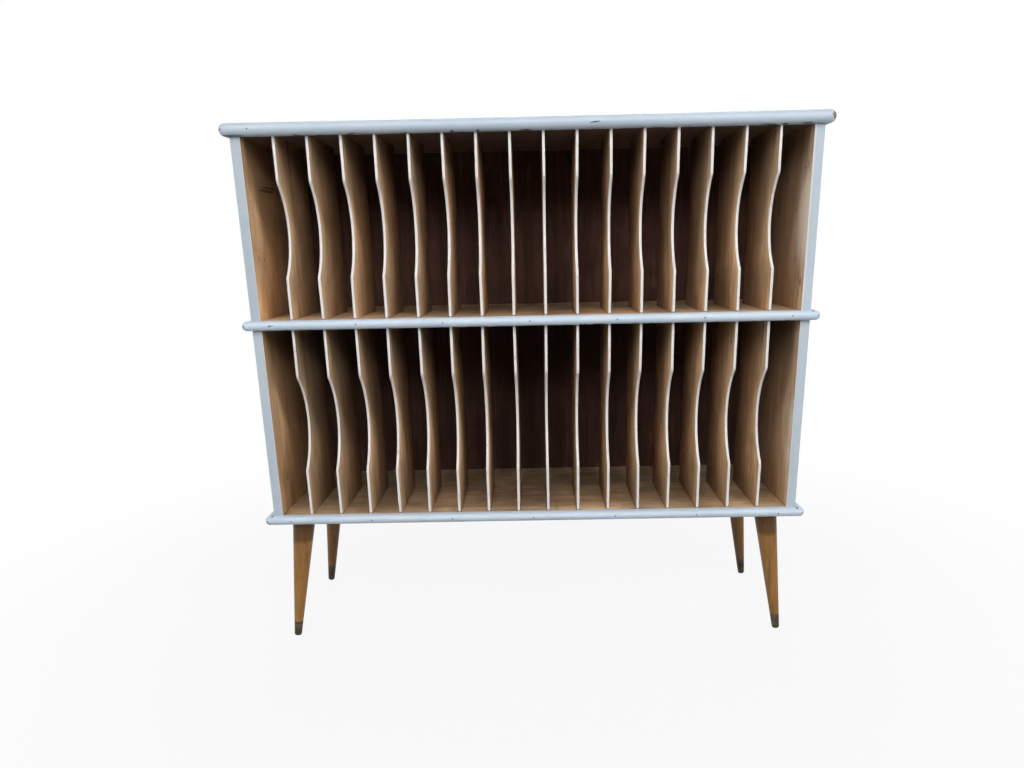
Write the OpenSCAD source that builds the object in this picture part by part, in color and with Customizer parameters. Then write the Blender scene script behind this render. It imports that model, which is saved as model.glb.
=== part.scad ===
// Two-tier record storage stand: three boards with half-round lippings, four side panels,
// thirty-two scooped dividers in stopped grooves, two back panels and four splayed tapered legs.
// Millimetres. +X is the width, the open front faces -Y, +Z is up. The origin is on the floor,
// under the middle of the stand's overall width and depth.

/* [Carcass] */
// Width over the outer faces of the side panels
carcass_w = 1070; // [850:5:1300]
// Depth of the side panels, from their front edge to the rear of the stand
carcass_d = 320; // [260:5:400]
// Thickness of the side panels
side_t = 18; // [12:1:25]
// Thickness of the middle and bottom boards
board_t = 18; // [16:1:25]
// Thickness of the top board
top_t = 23; // [16:1:30]
// Clear height of the upper tier
upper_clear_h = 328; // [260:1:420]
// Clear height of the lower tier
lower_clear_h = 378; // [300:1:480]

/* [Lipping] */
// Width of the half-round lipping, from its rounded edge to the board it is glued to
lipping_w = 17; // [15:1:30]
// How far the front edge of each side panel stands forward of the board, on the lipping
panel_lap = 4; // [0:0.5:6]

/* [Dividers] */
// Number of dividers in each tier
dividers_per_tier = 16; // [4:1:16]
// Thickness of a divider
divider_t = 5; // [3:0.5:8]
// Depth of a divider, from its front edge to its rear edge
divider_d = 190; // [120:5:230]
// Depth of the grooves that hold the dividers
groove_depth = 4; // [2:0.5:5]
// Gap between a divider and each side of its groove
groove_side_gap = 0.15; // [0.05:0.05:0.5]
// Gap between the top of a divider and the end of its upper groove
groove_top_gap = 0.3; // [0.1:0.1:1]
// Length that a groove runs on behind its divider
groove_run_on = 2; // [0.5:0.5:10]
// Height of the finger scoop in the front edge of an upper divider
upper_scoop_h = 170; // [100:5:220]
// Depth of the finger scoop in an upper divider
upper_scoop_depth = 39; // [10:1:50]
// Height of the finger scoop in the front edge of a lower divider
lower_scoop_h = 190; // [120:5:250]
// Depth of the finger scoop in a lower divider
lower_scoop_depth = 44; // [10:1:55]
// Radius that eases the two corners of each scoop
scoop_corner_r = 6; // [2:1:12]

/* [Back panels] */
// Thickness of the back panels
back_t = 4; // [3:0.5:8]
// Width of the rebate that holds a back panel
rebate_w = 6; // [4:0.5:7]
// Gap between the edge of a back panel and the side of its rebate
back_gap = 1; // [0.3:0.1:1.5]

/* [Legs] */
// Height from the floor to the underside of the bottom board
leg_h = 264; // [120:2:400]
// Diameter of a leg where its taper meets the bottom board's plane
leg_top_d = 46; // [32:1:50]
// Diameter of a foot where its taper meets the floor
leg_foot_d = 15; // [12:1:24]
// How far a foot stands out sideways from the top of its leg
leg_splay_x = 36; // [0:1:44]
// How far a foot stands out to the front or rear from the top of its leg
leg_splay_y = 14; // [0:1:26]
// Height of the ferrule on a foot
ferrule_h = 32; // [15:1:60]
// Wall thickness of the ferrule
ferrule_wall = 0.8; // [0.5:0.1:1.5]
// Thickness of the closed end of the ferrule
ferrule_end_t = 2; // [1:0.5:4]
// Radius of the rounded rim at the end of the ferrule
ferrule_rim_r = 3; // [1:0.5:5]
// Depth of the flat that the floor has worn on the end of a ferrule
foot_wear = 0.5; // [0.2:0.1:1]

/* [Leg plates] */
// How far the square plate stands out all round the top of its leg
plate_rim = 4; // [3:0.5:10]
// Distance from the ends of the bottom board to the plates
plate_inset_x = 24; // [18:1:60]
// Distance from the front and rear edges of the bottom board to the plates
plate_inset_y = 1; // [0:0.5:30]
// Thickness of the plate
plate_t = 2; // [1.5:0.5:4]
// Least height of the angled seat under the plate
seat_min_h = 1; // [0.5:0.5:4]
// Radius of the plate's corners
plate_corner_r = 6; // [2:1:10]
// Distance from the plate's edge to its screw holes
plate_hole_inset = 5.5; // [5:0.5:8]
// Diameter of the hanger bolt
bolt_d = 8; // [6:1:10]
// Length of the hanger bolt that is sunk in the leg
bolt_in_leg = 45; // [25:1:60]
// Length of the hanger bolt that reaches above the plate
bolt_above_plate = 4; // [2:1:6]
// Diameter of the plate screws
screw_d = 3.5; // [3:0.5:4.5]
// Length of a plate screw under its head
screw_l = 13; // [8:1:15]
// Diameter of a plate screw's head
screw_head_d = 7; // [5:0.5:8]
// Height of a plate screw's head
screw_head_h = 2.4; // [1.5:0.1:3]

/* [Dowels and pins] */
// Diameter of the dowels that join the side panels to the boards
dowel_d = 8; // [6:1:10]
// Length of a dowel
dowel_l = 30; // [24:1:40]
// Length of a dowel that stands in the board
dowel_in_board = 11; // [8:0.5:13]
// Distance from the front and rear of a side panel to its end dowels
dowel_end = 40; // [20:1:60]
// How far the lower tier's dowels sit behind the upper tier's
dowel_stagger = 20; // [14:1:40]
// Diameter of the pins that hold the lippings
lip_pin_d = 1.6; // [1:0.1:2.5]
// Length of a lipping pin
lip_pin_l = 28; // [24:1:40]
// Depth that the lipping pins are punched below the surface
lip_pin_sink = 1; // [0.5:0.5:2]
// Diameter of the punched hole over a lipping pin
lip_punch_d = 3; // [2:0.5:4]
// Number of pins along a front lipping, between its two corner pins
lip_pins_front = 7; // [3:1:11]
// Distance from the end of the board to the first of those pins
lip_pin_end = 37; // [20:1:80]
// Distance from the outer end of a front lipping to its corner pin
lip_corner_pin = 6; // [5:0.5:8]
// Diameter of the pins that hold the back panels
back_pin_d = 1.5; // [1:0.1:2.5]
// Length of a back pin under its head
back_pin_l = 18; // [12:1:25]
// Diameter of a back pin's head
back_pin_head_d = 3; // [2.5:0.5:5]
// Thickness of a back pin's head
back_pin_head_h = 0.6; // [0.4:0.1:1.2]
// Number of back pins along the top and along the bottom of a back panel
back_pins_across = 6; // [3:1:12]
// Number of back pins up each side of a back panel
back_pins_up = 2; // [1:1:6]

/* [Hidden] */
$fn = 48;
SIDES = ["left", "right"];
ENDS = ["front", "back"];
TIERS = ["upper", "lower"];
// Radial clearance of a dowel, bolt, screw or pin in its hole
hole_gap = 0.05;
// Empty length at the blind end of a hole
blind_gap = 0.5;
// Length by which a cutting shape passes a surface
over = 2;

overall_w = carcass_w + 2 * lipping_w;
lip_front_y = -(carcass_d + lipping_w - panel_lap) / 2;
board_front_y = lip_front_y + lipping_w;
panel_front_y = board_front_y - panel_lap;
rear_y = panel_front_y + carcass_d;
back_face_y = rear_y - back_t;
board_d = rear_y - board_front_y;

bottom_z = leg_h;
lower_floor_z = bottom_z + board_t;
middle_z = lower_floor_z + lower_clear_h;
upper_floor_z = middle_z + board_t;
top_z = upper_floor_z + upper_clear_h;
overall_h = top_z + top_t;

inner_w = carcass_w - 2 * side_t;
slot_w = (inner_w - dividers_per_tier * divider_t) / (dividers_per_tier + 1);
groove_w = divider_t + 2 * groove_side_gap;

leg_lean = norm([leg_splay_x, leg_splay_y]);
leg_tilt = atan2(leg_lean, leg_h);
leg_axis_l = norm([leg_lean, leg_h]);
leg_turn = atan2(leg_splay_y, leg_splay_x);
plate_w = leg_top_d + 2 * plate_rim;
// Where the legs' axes meet the underside of the bottom board
leg_x = carcass_w / 2 - plate_inset_x - plate_w / 2;
leg_front_y = board_front_y + plate_inset_y + plate_w / 2;
leg_back_y = rear_y - plate_inset_y - plate_w / 2;
// Distance along a leg's axis, from the floor, to the face that seats on its plate
leg_top_s = (leg_h - plate_t - seat_min_h - leg_top_d / 2 * sin(leg_tilt)) / cos(leg_tilt);
// Distance along a leg's axis at which its ferrule ends, just above the worn flat
ferrule_end_s = (leg_foot_d / 2 - ferrule_rim_r) * sin(leg_tilt) / cos(leg_tilt)
    + ferrule_rim_r * (1 / cos(leg_tilt) - 1) - foot_wear;

function tier_floor_z(tier) = tier == "upper" ? upper_floor_z : lower_floor_z;
function tier_clear_h(tier) = tier == "upper" ? upper_clear_h : lower_clear_h;
function scoop_h(tier) = tier == "upper" ? upper_scoop_h : lower_scoop_h;
function scoop_depth(tier) = tier == "upper" ? upper_scoop_depth : lower_scoop_depth;
function side_sign(side) = side == "left" ? -1 : 1;
function end_sign(end) = end == "front" ? -1 : 1;
// Middle of the thickness of divider i, counted from 1 at the left
function divider_x(i) = -inner_w / 2 + i * slot_w + (i - 0.5) * divider_t;
function divider_name(tier, i) = str(tier, "_divider_", i < 10 ? "0" : "", i);
// n places spread evenly from a to b
function spread(a, b, n) = [for (k = [0 : n - 1]) n == 1 ? (a + b) / 2 : a + (b - a) * k / (n - 1)];
function leg_name(end, side) = str(end, "_", side, "_leg");
function leg_radius(s) = (leg_foot_d + (leg_top_d - leg_foot_d) * s / leg_axis_l) / 2;

// Depth places of a tier's dowels
function dowel_ys(tier) =
    [for (y = spread(panel_front_y + dowel_end, rear_y - dowel_end - dowel_stagger, 3))
        y + (tier == "lower" ? dowel_stagger : 0)];
dowel_x = (carcass_w - side_t) / 2;

lip_pin_xs = spread(-carcass_w / 2 + lip_pin_end, carcass_w / 2 - lip_pin_end, lip_pins_front);
// Depth places of the pins in an end lipping, midway between the dowels
lip_pin_ys = [for (k = [0, 1]) (dowel_ys("lower")[k] + dowel_ys("upper")[k + 1]) / 2];

PAINT = [0.73, 0.79, 0.85];
VENEER = [0.66, 0.50, 0.33];
DARK_BOARD = [0.22, 0.14, 0.11];
LEG_WOOD = [0.62, 0.40, 0.18];
BRASS = [0.42, 0.37, 0.24];
STEEL = [0.6, 0.6, 0.62];
BEECH = [0.85, 0.72, 0.54];

// ---- Boards ----

// Stopped grooves for a tier's dividers, cut into the face at height z, upwards or downwards
module divider_grooves(z, up) {
    groove_l = divider_d + groove_run_on;
    for (i = [1 : dividers_per_tier])
        translate([divider_x(i) - groove_w / 2, board_front_y - over, up ? z - over : z - groove_depth])
            cube([groove_w, groove_l + over, groove_depth + over]);
}

// Rebate for the edge of a back panel, in the face at height z, upwards or downwards
module back_rebate(z, up) {
    translate([-inner_w / 2 - rebate_w, back_face_y, up ? z - over : z - rebate_w])
        cube([inner_w + 2 * rebate_w, back_t + over, rebate_w + over]);
}

// Blind bores for a tier's dowels, from the face at height z, upwards or downwards
module board_dowel_bores(tier, z, up) {
    bore_l = dowel_in_board + blind_gap;
    for (s = [-1, 1], y = dowel_ys(tier))
        translate([s * dowel_x, y, up ? z - over : z - bore_l])
            cylinder(d = dowel_d + 2 * hole_gap, h = bore_l + over);
}

// Everything that one tier cuts into a board's face
module tier_cuts(tier, z, up) {
    divider_grooves(z, up);
    back_rebate(z, up);
    board_dowel_bores(tier, z, up);
}

// Places a shape made along +Z at each lipping pin of a board whose underside is at z, pointing
// into the board from the lipping's surface
module at_lip_pins(z, t) {
    mid_z = z + t / 2;
    // How far the rounded corner has fallen back from the front at a corner pin
    corner_x = max(0, t / 2 - lip_corner_pin);
    corner_drop = t / 2 - sqrt((t / 2) ^ 2 - corner_x ^ 2);
    for (x = lip_pin_xs)
        translate([x, lip_front_y, mid_z]) rotate([-90, 0, 0]) children();
    for (s = [-1, 1])
        translate([s * (overall_w / 2 - lip_corner_pin), lip_front_y + corner_drop, mid_z])
            rotate([-90, 0, 0]) children();
    for (s = [-1, 1], y = lip_pin_ys)
        translate([s * overall_w / 2, y, mid_z]) rotate([0, -s * 90, 0]) children();
}

module lip_pin_holes(z, t) {
    at_lip_pins(z, t) {
        translate([0, 0, -over])
            cylinder(d = lip_pin_d + 2 * hole_gap, h = over + lip_pin_sink + lip_pin_l + blind_gap);
        translate([0, 0, -over])
            cylinder(d = lip_punch_d, h = over + lip_pin_sink);
    }
}

module board_blank(z, t) {
    translate([-carcass_w / 2, board_front_y, z]) cube([carcass_w, board_d, t]);
}

module top_board() {
    color(VENEER) difference() {
        board_blank(top_z, top_t);
        tier_cuts("upper", top_z, true);
        lip_pin_holes(top_z, top_t);
        back_pin_holes("upper");
    }
}

module middle_board() {
    color(VENEER) difference() {
        board_blank(middle_z, board_t);
        tier_cuts("upper", upper_floor_z, false);
        tier_cuts("lower", middle_z, true);
        lip_pin_holes(middle_z, board_t);
        back_pin_holes("upper");
        back_pin_holes("lower");
    }
}

module bottom_board() {
    bolt_relief_d = bolt_d + 4;
    bolt_relief_l = bolt_above_plate + plate_t + over;
    color(VENEER) difference() {
        board_blank(bottom_z, board_t);
        tier_cuts("lower", lower_floor_z, false);
        lip_pin_holes(bottom_z, board_t);
        back_pin_holes("lower");
        at_legs() along_leg()
            translate([0, 0, leg_axis_l - over]) cylinder(d = bolt_relief_d, h = bolt_relief_l);
        at_legs() at_plate_screws()
            translate([0, 0, -over])
                cylinder(d = screw_d + 2 * hole_gap, h = over + screw_l - plate_t + blind_gap);
    }
}

// ---- Lippings ----

// Half-round nose of a lipping, with its flat side on the v axis
module nose_section(t) {
    difference() {
        circle(d = t);
        translate([-2 * t, -t]) square([2 * t, 2 * t]);
    }
}

// Section of a lipping: u runs in from the rounded edge, v is up from mid thickness
module lip_section(t) {
    translate([t / 2, 0]) mirror([1, 0]) nose_section(t);
    translate([t / 2, -t / 2]) square([lipping_w - t / 2, t]);
}

// A bar of lipping that runs along +Y from a rounded and mitred corner. The origin is the middle
// of the corner's rounding, at mid thickness, and the nose faces +X.
module mitred_bar(t, l) {
    r = t / 2;
    inner_x = r - lipping_w;
    difference() {
        translate([r, 0, 0]) rotate([90, 0, 180]) linear_extrude(l) lip_section(t);
        linear_extrude(2 * t, center = true)
            polygon([[0, 0], [0, -over], [inner_x - over, -over], [inner_x - over, -inner_x],
                [inner_x, -inner_x]]);
    }
    intersection() {
        rotate([90, 0, 0]) sphere(d = t);
        linear_extrude(2 * t, center = true) polygon([[0, 0], [t, -t], [t, 0]]);
    }
}

// Draws its children at the rounded corners at both ends of the front of a board
module at_corners(z, t) {
    for (m = [0, 1]) mirror([m, 0, 0])
        translate([(overall_w - t) / 2, lip_front_y + t / 2, z + t / 2]) children();
}

module front_lipping(z, t) {
    color(PAINT) difference() {
        at_corners(z, t) mirror([1, 1, 0]) mitred_bar(t, (overall_w - t) / 2);
        lip_pin_holes(z, t);
    }
}

module end_lippings(z, t) {
    color(PAINT) difference() {
        at_corners(z, t) mitred_bar(t, rear_y - lip_front_y - t / 2);
        lip_pin_holes(z, t);
    }
}

// ---- Side panels and backs ----

module side_panel(tier, side) {
    h = tier_clear_h(tier);
    z = tier_floor_z(tier);
    bore_l = dowel_l - dowel_in_board + blind_gap;
    color(PAINT) difference() {
        translate([side == "left" ? -carcass_w / 2 : inner_w / 2, panel_front_y, z])
            cube([side_t, carcass_d, h]);
        translate([-inner_w / 2 - rebate_w, back_face_y, z - over])
            cube([inner_w + 2 * rebate_w, back_t + over, h + 2 * over]);
        for (y = dowel_ys(tier), end_z = [z - over, z + h - bore_l])
            translate([side_sign(side) * dowel_x, y, end_z])
                cylinder(d = dowel_d + 2 * hole_gap, h = bore_l + over);
        back_pin_holes(tier);
    }
}

module back_panel(tier) {
    lap = rebate_w - back_gap;
    color(DARK_BOARD) difference() {
        translate([-inner_w / 2 - lap, back_face_y, tier_floor_z(tier) - lap])
            cube([inner_w + 2 * lap, back_t, tier_clear_h(tier) + 2 * lap]);
        back_pin_holes(tier);
    }
}

// ---- Dividers ----

// Side view of a divider: u is back from its front edge, v is up from the tier's floor
module divider_outline(tier) {
    h = tier_clear_h(tier);
    depth = scoop_depth(tier);
    scoop_r = ((scoop_h(tier) / 2) ^ 2 + depth ^ 2) / (2 * depth);
    scoop_u = depth - scoop_r;
    // Rise from the middle of the scoop to the centre of an eased corner
    rise = sqrt((scoop_r + scoop_corner_r) ^ 2 - (scoop_corner_r - scoop_u) ^ 2);
    difference() {
        translate([0, -groove_depth]) square([divider_d, h + 2 * groove_depth - groove_top_gap]);
        translate([scoop_u, h / 2]) circle(r = scoop_r);
        for (m = [0, 1])
            translate([0, h / 2]) mirror([0, m])
                scoop_corner_waste([scoop_corner_r, rise], [scoop_u, 0]);
    }
}

// The sharp tip between a divider's front edge and its scoop, outside the easing circle
module scoop_corner_waste(corner, scoop) {
    tangent = corner + scoop_corner_r * (scoop - corner) / norm(scoop - corner);
    difference() {
        polygon([[-over, corner.y], corner, tangent, [-over, tangent.y]]);
        translate(corner) circle(r = scoop_corner_r);
    }
}

module divider(tier, i) {
    color(VENEER) translate([divider_x(i) - divider_t / 2, board_front_y, tier_floor_z(tier)])
        rotate([90, 0, 90]) linear_extrude(divider_t) divider_outline(tier);
}

// ---- Legs ----

// Draws its children for one leg, at the point under the bottom board where the leg's axis meets it
module at_leg(end, side) {
    translate([side_sign(side) * leg_x, end == "front" ? leg_front_y : leg_back_y, bottom_z])
        mirror([side == "left" ? 1 : 0, 0, 0])
            mirror([0, end == "front" ? 1 : 0, 0])
                children();
}

module at_legs() {
    for (end = ENDS, side = SIDES) at_leg(end, side) children();
}

// Turns +Z onto the leg's axis, with zero where the axis meets the floor
module along_leg() {
    translate([leg_splay_x, leg_splay_y, -leg_h])
        rotate([0, 0, leg_turn]) rotate([0, -leg_tilt, 0]) children();
}

// Half sections of the taper between two distances along the axis, less a wall
module taper_section(from, to, wall) {
    polygon([[0, from], [leg_radius(from) - wall, from], [leg_radius(to) - wall, to], [0, to]]);
}

module leg(end, side) {
    spigot_s = ferrule_end_s + ferrule_end_t;
    ferrule_top_s = ferrule_end_s + ferrule_h;
    color(LEG_WOOD) at_leg(end, side) along_leg() difference() {
        union() {
            rotate_extrude() taper_section(ferrule_top_s, leg_top_s, 0);
            rotate_extrude() taper_section(spigot_s, ferrule_top_s, ferrule_wall + hole_gap);
        }
        translate([0, 0, leg_top_s - bolt_in_leg - blind_gap])
            cylinder(d = bolt_d + 2 * hole_gap, h = bolt_in_leg + blind_gap + over);
    }
}

module ferrule() {
    top_s = ferrule_end_s + ferrule_h;
    end_r = leg_radius(ferrule_end_s);
    rotate_extrude() difference() {
        taper_section(ferrule_end_s, top_s, 0);
        translate([end_r - ferrule_rim_r, ferrule_end_s]) difference() {
            translate([0, -over]) square([ferrule_rim_r + over, ferrule_rim_r + over]);
            translate([0, ferrule_rim_r]) circle(r = ferrule_rim_r);
        }
        taper_section(ferrule_end_s + ferrule_end_t, top_s + over, ferrule_wall);
    }
}

module leg_ferrules() {
    color(BRASS) intersection() {
        at_legs() along_leg() ferrule();
        translate([-overall_w / 2, -carcass_d, 0]) cube([overall_w, 2 * carcass_d, leg_h]);
    }
}

// Places its children at the four screws of a plate, on the underside of the bottom board
module at_plate_screws() {
    c = plate_w / 2 - plate_hole_inset;
    for (x = [-c, c], y = [-c, c]) translate([x, y, 0]) children();
}

module plate_outline() {
    c = plate_w / 2 - plate_corner_r;
    square([plate_w, 2 * c], center = true);
    square([2 * c, plate_w], center = true);
    for (x = [-c, c], y = [-c, c]) translate([x, y]) circle(r = plate_corner_r);
}

module leg_plates() {
    seat_d = 2 * leg_radius(leg_top_s) - 1;
    color(STEEL) at_legs() difference() {
        union() {
            translate([0, 0, -plate_t]) linear_extrude(plate_t) plate_outline();
            intersection() {
                along_leg() translate([0, 0, leg_top_s]) cylinder(d = seat_d, h = leg_top_d);
                translate([-plate_w, -plate_w, -plate_t - leg_top_d])
                    cube([2 * plate_w, 2 * plate_w, plate_t / 2 + leg_top_d]);
            }
        }
        along_leg() translate([0, 0, leg_top_s - over])
            cylinder(d = bolt_d + 2 * hole_gap, h = leg_axis_l - leg_top_s + 2 * over);
        at_plate_screws() translate([0, 0, -plate_t - over])
            cylinder(d = screw_d + 1, h = plate_t + 2 * over);
    }
}

module hanger_bolts() {
    color(STEEL) at_legs() along_leg() translate([0, 0, leg_top_s - bolt_in_leg])
        cylinder(d = bolt_d, h = bolt_in_leg + leg_axis_l - leg_top_s + bolt_above_plate);
}

module plate_screws() {
    color(STEEL) at_legs() at_plate_screws() {
        translate([0, 0, -plate_t]) cylinder(d = screw_d, h = screw_l);
        translate([0, 0, -plate_t - screw_head_h])
            cylinder(d1 = screw_head_d - screw_head_h, d2 = screw_head_d, h = screw_head_h);
    }
}

// ---- Dowels and pins ----

module carcass_dowels() {
    color(BEECH)
        for (tier = TIERS, s = [-1, 1], y = dowel_ys(tier), top = [false, true])
            translate([s * dowel_x, y, top
                    ? tier_floor_z(tier) + tier_clear_h(tier) + dowel_in_board - dowel_l
                    : tier_floor_z(tier) - dowel_in_board])
                cylinder(d = dowel_d, h = dowel_l);
}

module lipping_pins() {
    color(STEEL)
        for (board = [[bottom_z, board_t], [middle_z, board_t], [top_z, top_t]])
            at_lip_pins(board[0], board[1])
                translate([0, 0, lip_pin_sink]) cylinder(d = lip_pin_d, h = lip_pin_l);
}

// Places a shape made along +Z at each back pin of a tier, pointing forwards from the rear face
module at_back_pins(tier) {
    reach = (rebate_w - back_gap) / 2;
    floor_z = tier_floor_z(tier);
    ceiling_z = floor_z + tier_clear_h(tier);
    edge_x = inner_w / 2 + reach;
    for (x = spread(-inner_w / 2 + side_t, inner_w / 2 - side_t, back_pins_across),
            z = [floor_z - reach, ceiling_z + reach])
        translate([x, rear_y, z]) rotate([90, 0, 0]) children();
    for (s = [-1, 1], k = [1 : back_pins_up])
        translate([s * edge_x, rear_y, floor_z + (ceiling_z - floor_z) * k / (back_pins_up + 1)])
            rotate([90, 0, 0]) children();
}

module back_pin_holes(tier) {
    at_back_pins(tier) {
        translate([0, 0, -over])
            cylinder(d = back_pin_d + 2 * hole_gap, h = over + back_pin_l + blind_gap);
        translate([0, 0, -over])
            cylinder(d = back_pin_head_d + 2 * hole_gap, h = over + back_pin_head_h);
    }
}

module back_pins() {
    color(STEEL) for (tier = TIERS) at_back_pins(tier) {
        cylinder(d = back_pin_d, h = back_pin_l);
        cylinder(d = back_pin_head_d, h = back_pin_head_h);
    }
}

// ---- The stand ----

top_board();
middle_board();
bottom_board();
front_lipping(top_z, top_t);  // top_front_lipping
front_lipping(middle_z, board_t);  // middle_front_lipping
front_lipping(bottom_z, board_t);  // bottom_front_lipping
end_lippings(top_z, top_t);  // top_end_lippings
end_lippings(middle_z, board_t);  // middle_end_lippings
end_lippings(bottom_z, board_t);  // bottom_end_lippings
for (tier = TIERS) {
    for (side = SIDES)
        side_panel(tier, side);
    back_panel(tier);
    for (i = [1 : dividers_per_tier])
        divider(tier, i);
}
for (end = ENDS, side = SIDES)
    leg(end, side);
leg_ferrules();
leg_plates();
hanger_bolts();
plate_screws();
carcass_dowels();
lipping_pins();
back_pins();
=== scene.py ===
"""Record storage stand: the visual model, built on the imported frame.

The CAD pieces stay where they are and take their finishes here. The dividers
and the plate screws are made again with Geometry Nodes, with the eased edges,
slots and unevenness of the real pieces, and the stopping over the lipping pins
is added. All lengths are metres, in the row frame: X to the right, Y to the
back, Z up.
"""

from __future__ import annotations

import logging
import math
from dataclasses import dataclass, field
from enum import Enum
from typing import Any, Iterable, Sequence

import bmesh
import bpy
from mathutils import Matrix, Vector

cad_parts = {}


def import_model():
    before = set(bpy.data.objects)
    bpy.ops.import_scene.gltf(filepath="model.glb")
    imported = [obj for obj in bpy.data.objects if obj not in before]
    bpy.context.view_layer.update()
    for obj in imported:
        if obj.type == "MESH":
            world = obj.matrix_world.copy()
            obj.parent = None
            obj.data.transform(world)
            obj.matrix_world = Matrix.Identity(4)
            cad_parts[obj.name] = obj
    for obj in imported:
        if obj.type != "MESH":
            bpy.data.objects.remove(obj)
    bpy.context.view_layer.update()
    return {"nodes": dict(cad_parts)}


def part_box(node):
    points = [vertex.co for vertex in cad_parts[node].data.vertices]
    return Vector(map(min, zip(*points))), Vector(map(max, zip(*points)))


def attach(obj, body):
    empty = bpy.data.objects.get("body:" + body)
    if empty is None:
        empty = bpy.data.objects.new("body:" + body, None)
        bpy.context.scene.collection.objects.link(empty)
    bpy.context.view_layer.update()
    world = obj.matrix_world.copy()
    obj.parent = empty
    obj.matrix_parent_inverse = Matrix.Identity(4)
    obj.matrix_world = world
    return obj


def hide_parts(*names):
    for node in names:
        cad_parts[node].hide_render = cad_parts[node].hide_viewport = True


LOG = logging.getLogger("record_stand")

MM = 0.001
BODY = "root"
ORIGIN = (0.0, 0.0, 0.0)

Colour = tuple[float, float, float]
Socket = Any


# ---------------------------------------------------------------------------
# Named options
# ---------------------------------------------------------------------------


class Run(Enum):
    """The way the grain or the brush marks run on a piece."""

    ALONG_X = 0
    ALONG_Y = 1
    ALONG_Z = 2


class Tier(Enum):
    """The two tiers of the carcass."""

    UPPER = "upper"
    LOWER = "lower"


# ---------------------------------------------------------------------------
# Node sheets
# ---------------------------------------------------------------------------


class NodeSheet:
    """One node tree, with short calls that add and join its nodes."""

    def __init__(self, tree: bpy.types.NodeTree) -> None:
        """Takes over a tree, and empties it."""
        self.tree = tree
        self.tree.nodes.clear()

    def add(self, kind: str, **settings: Any) -> bpy.types.Node:
        """Adds a node and sets its plain settings.

        Args:
            kind: the node's type name.
            settings: attributes of the node, by name.

        Returns:
            The new node.
        """
        node = self.tree.nodes.new(kind)
        for key, value in settings.items():
            setattr(node, key, value)
        return node

    def join(self, source: Socket, target: Socket) -> None:
        """Joins an output socket to an input socket."""
        self.tree.links.new(source, target)

    def feed(self, target: Socket, value: Any) -> None:
        """Gives a socket a link or a plain number or colour.

        Args:
            target: the input socket.
            value: a socket to link, a number, or a colour of three numbers.
        """
        if isinstance(value, bpy.types.NodeSocket):
            self.join(value, target)
        elif isinstance(value, tuple) and target.type == "RGBA":
            target.default_value = (*value, 1.0)
        else:
            target.default_value = value

    def node(self, kind: str, values: dict[Any, Any], **settings: Any) -> Socket:
        """Adds a node, feeds its inputs and gives its first output.

        Args:
            kind: the node's type name.
            values: links or plain values, by input name or number.
            settings: attributes of the node, by name.

        Returns:
            The node's first output.
        """
        node = self.add(kind, **settings)
        for key, value in values.items():
            self.feed(node.inputs[key], value)
        return node.outputs[0]

    def maths(self, operation: str, *values: Any) -> Socket:
        """Works out a number from sockets or numbers."""
        return self.node("ShaderNodeMath", dict(enumerate(values)), operation=operation)

    def plus(self, value: Any, more: Any) -> Socket:
        """One number and another."""
        return self.maths("ADD", value, more)

    def minus(self, value: Any, less: Any) -> Socket:
        """One number less another."""
        return self.maths("SUBTRACT", value, less)

    def times(self, value: Any, factor: Any) -> Socket:
        """One number times another."""
        return self.maths("MULTIPLY", value, factor)

    def seen(self) -> Socket:
        """Tells the rays that look at a thing from those that light others by it.

        Returns:
            The value socket, 1 for a ray from the eye, a mirror or a glass.
        """
        path = self.add("ShaderNodeLightPath").outputs
        eye = self.maths("MAXIMUM", path["Is Camera Ray"], path["Is Glossy Ray"])
        return self.maths("MAXIMUM", eye, path["Is Transmission Ray"])


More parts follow.
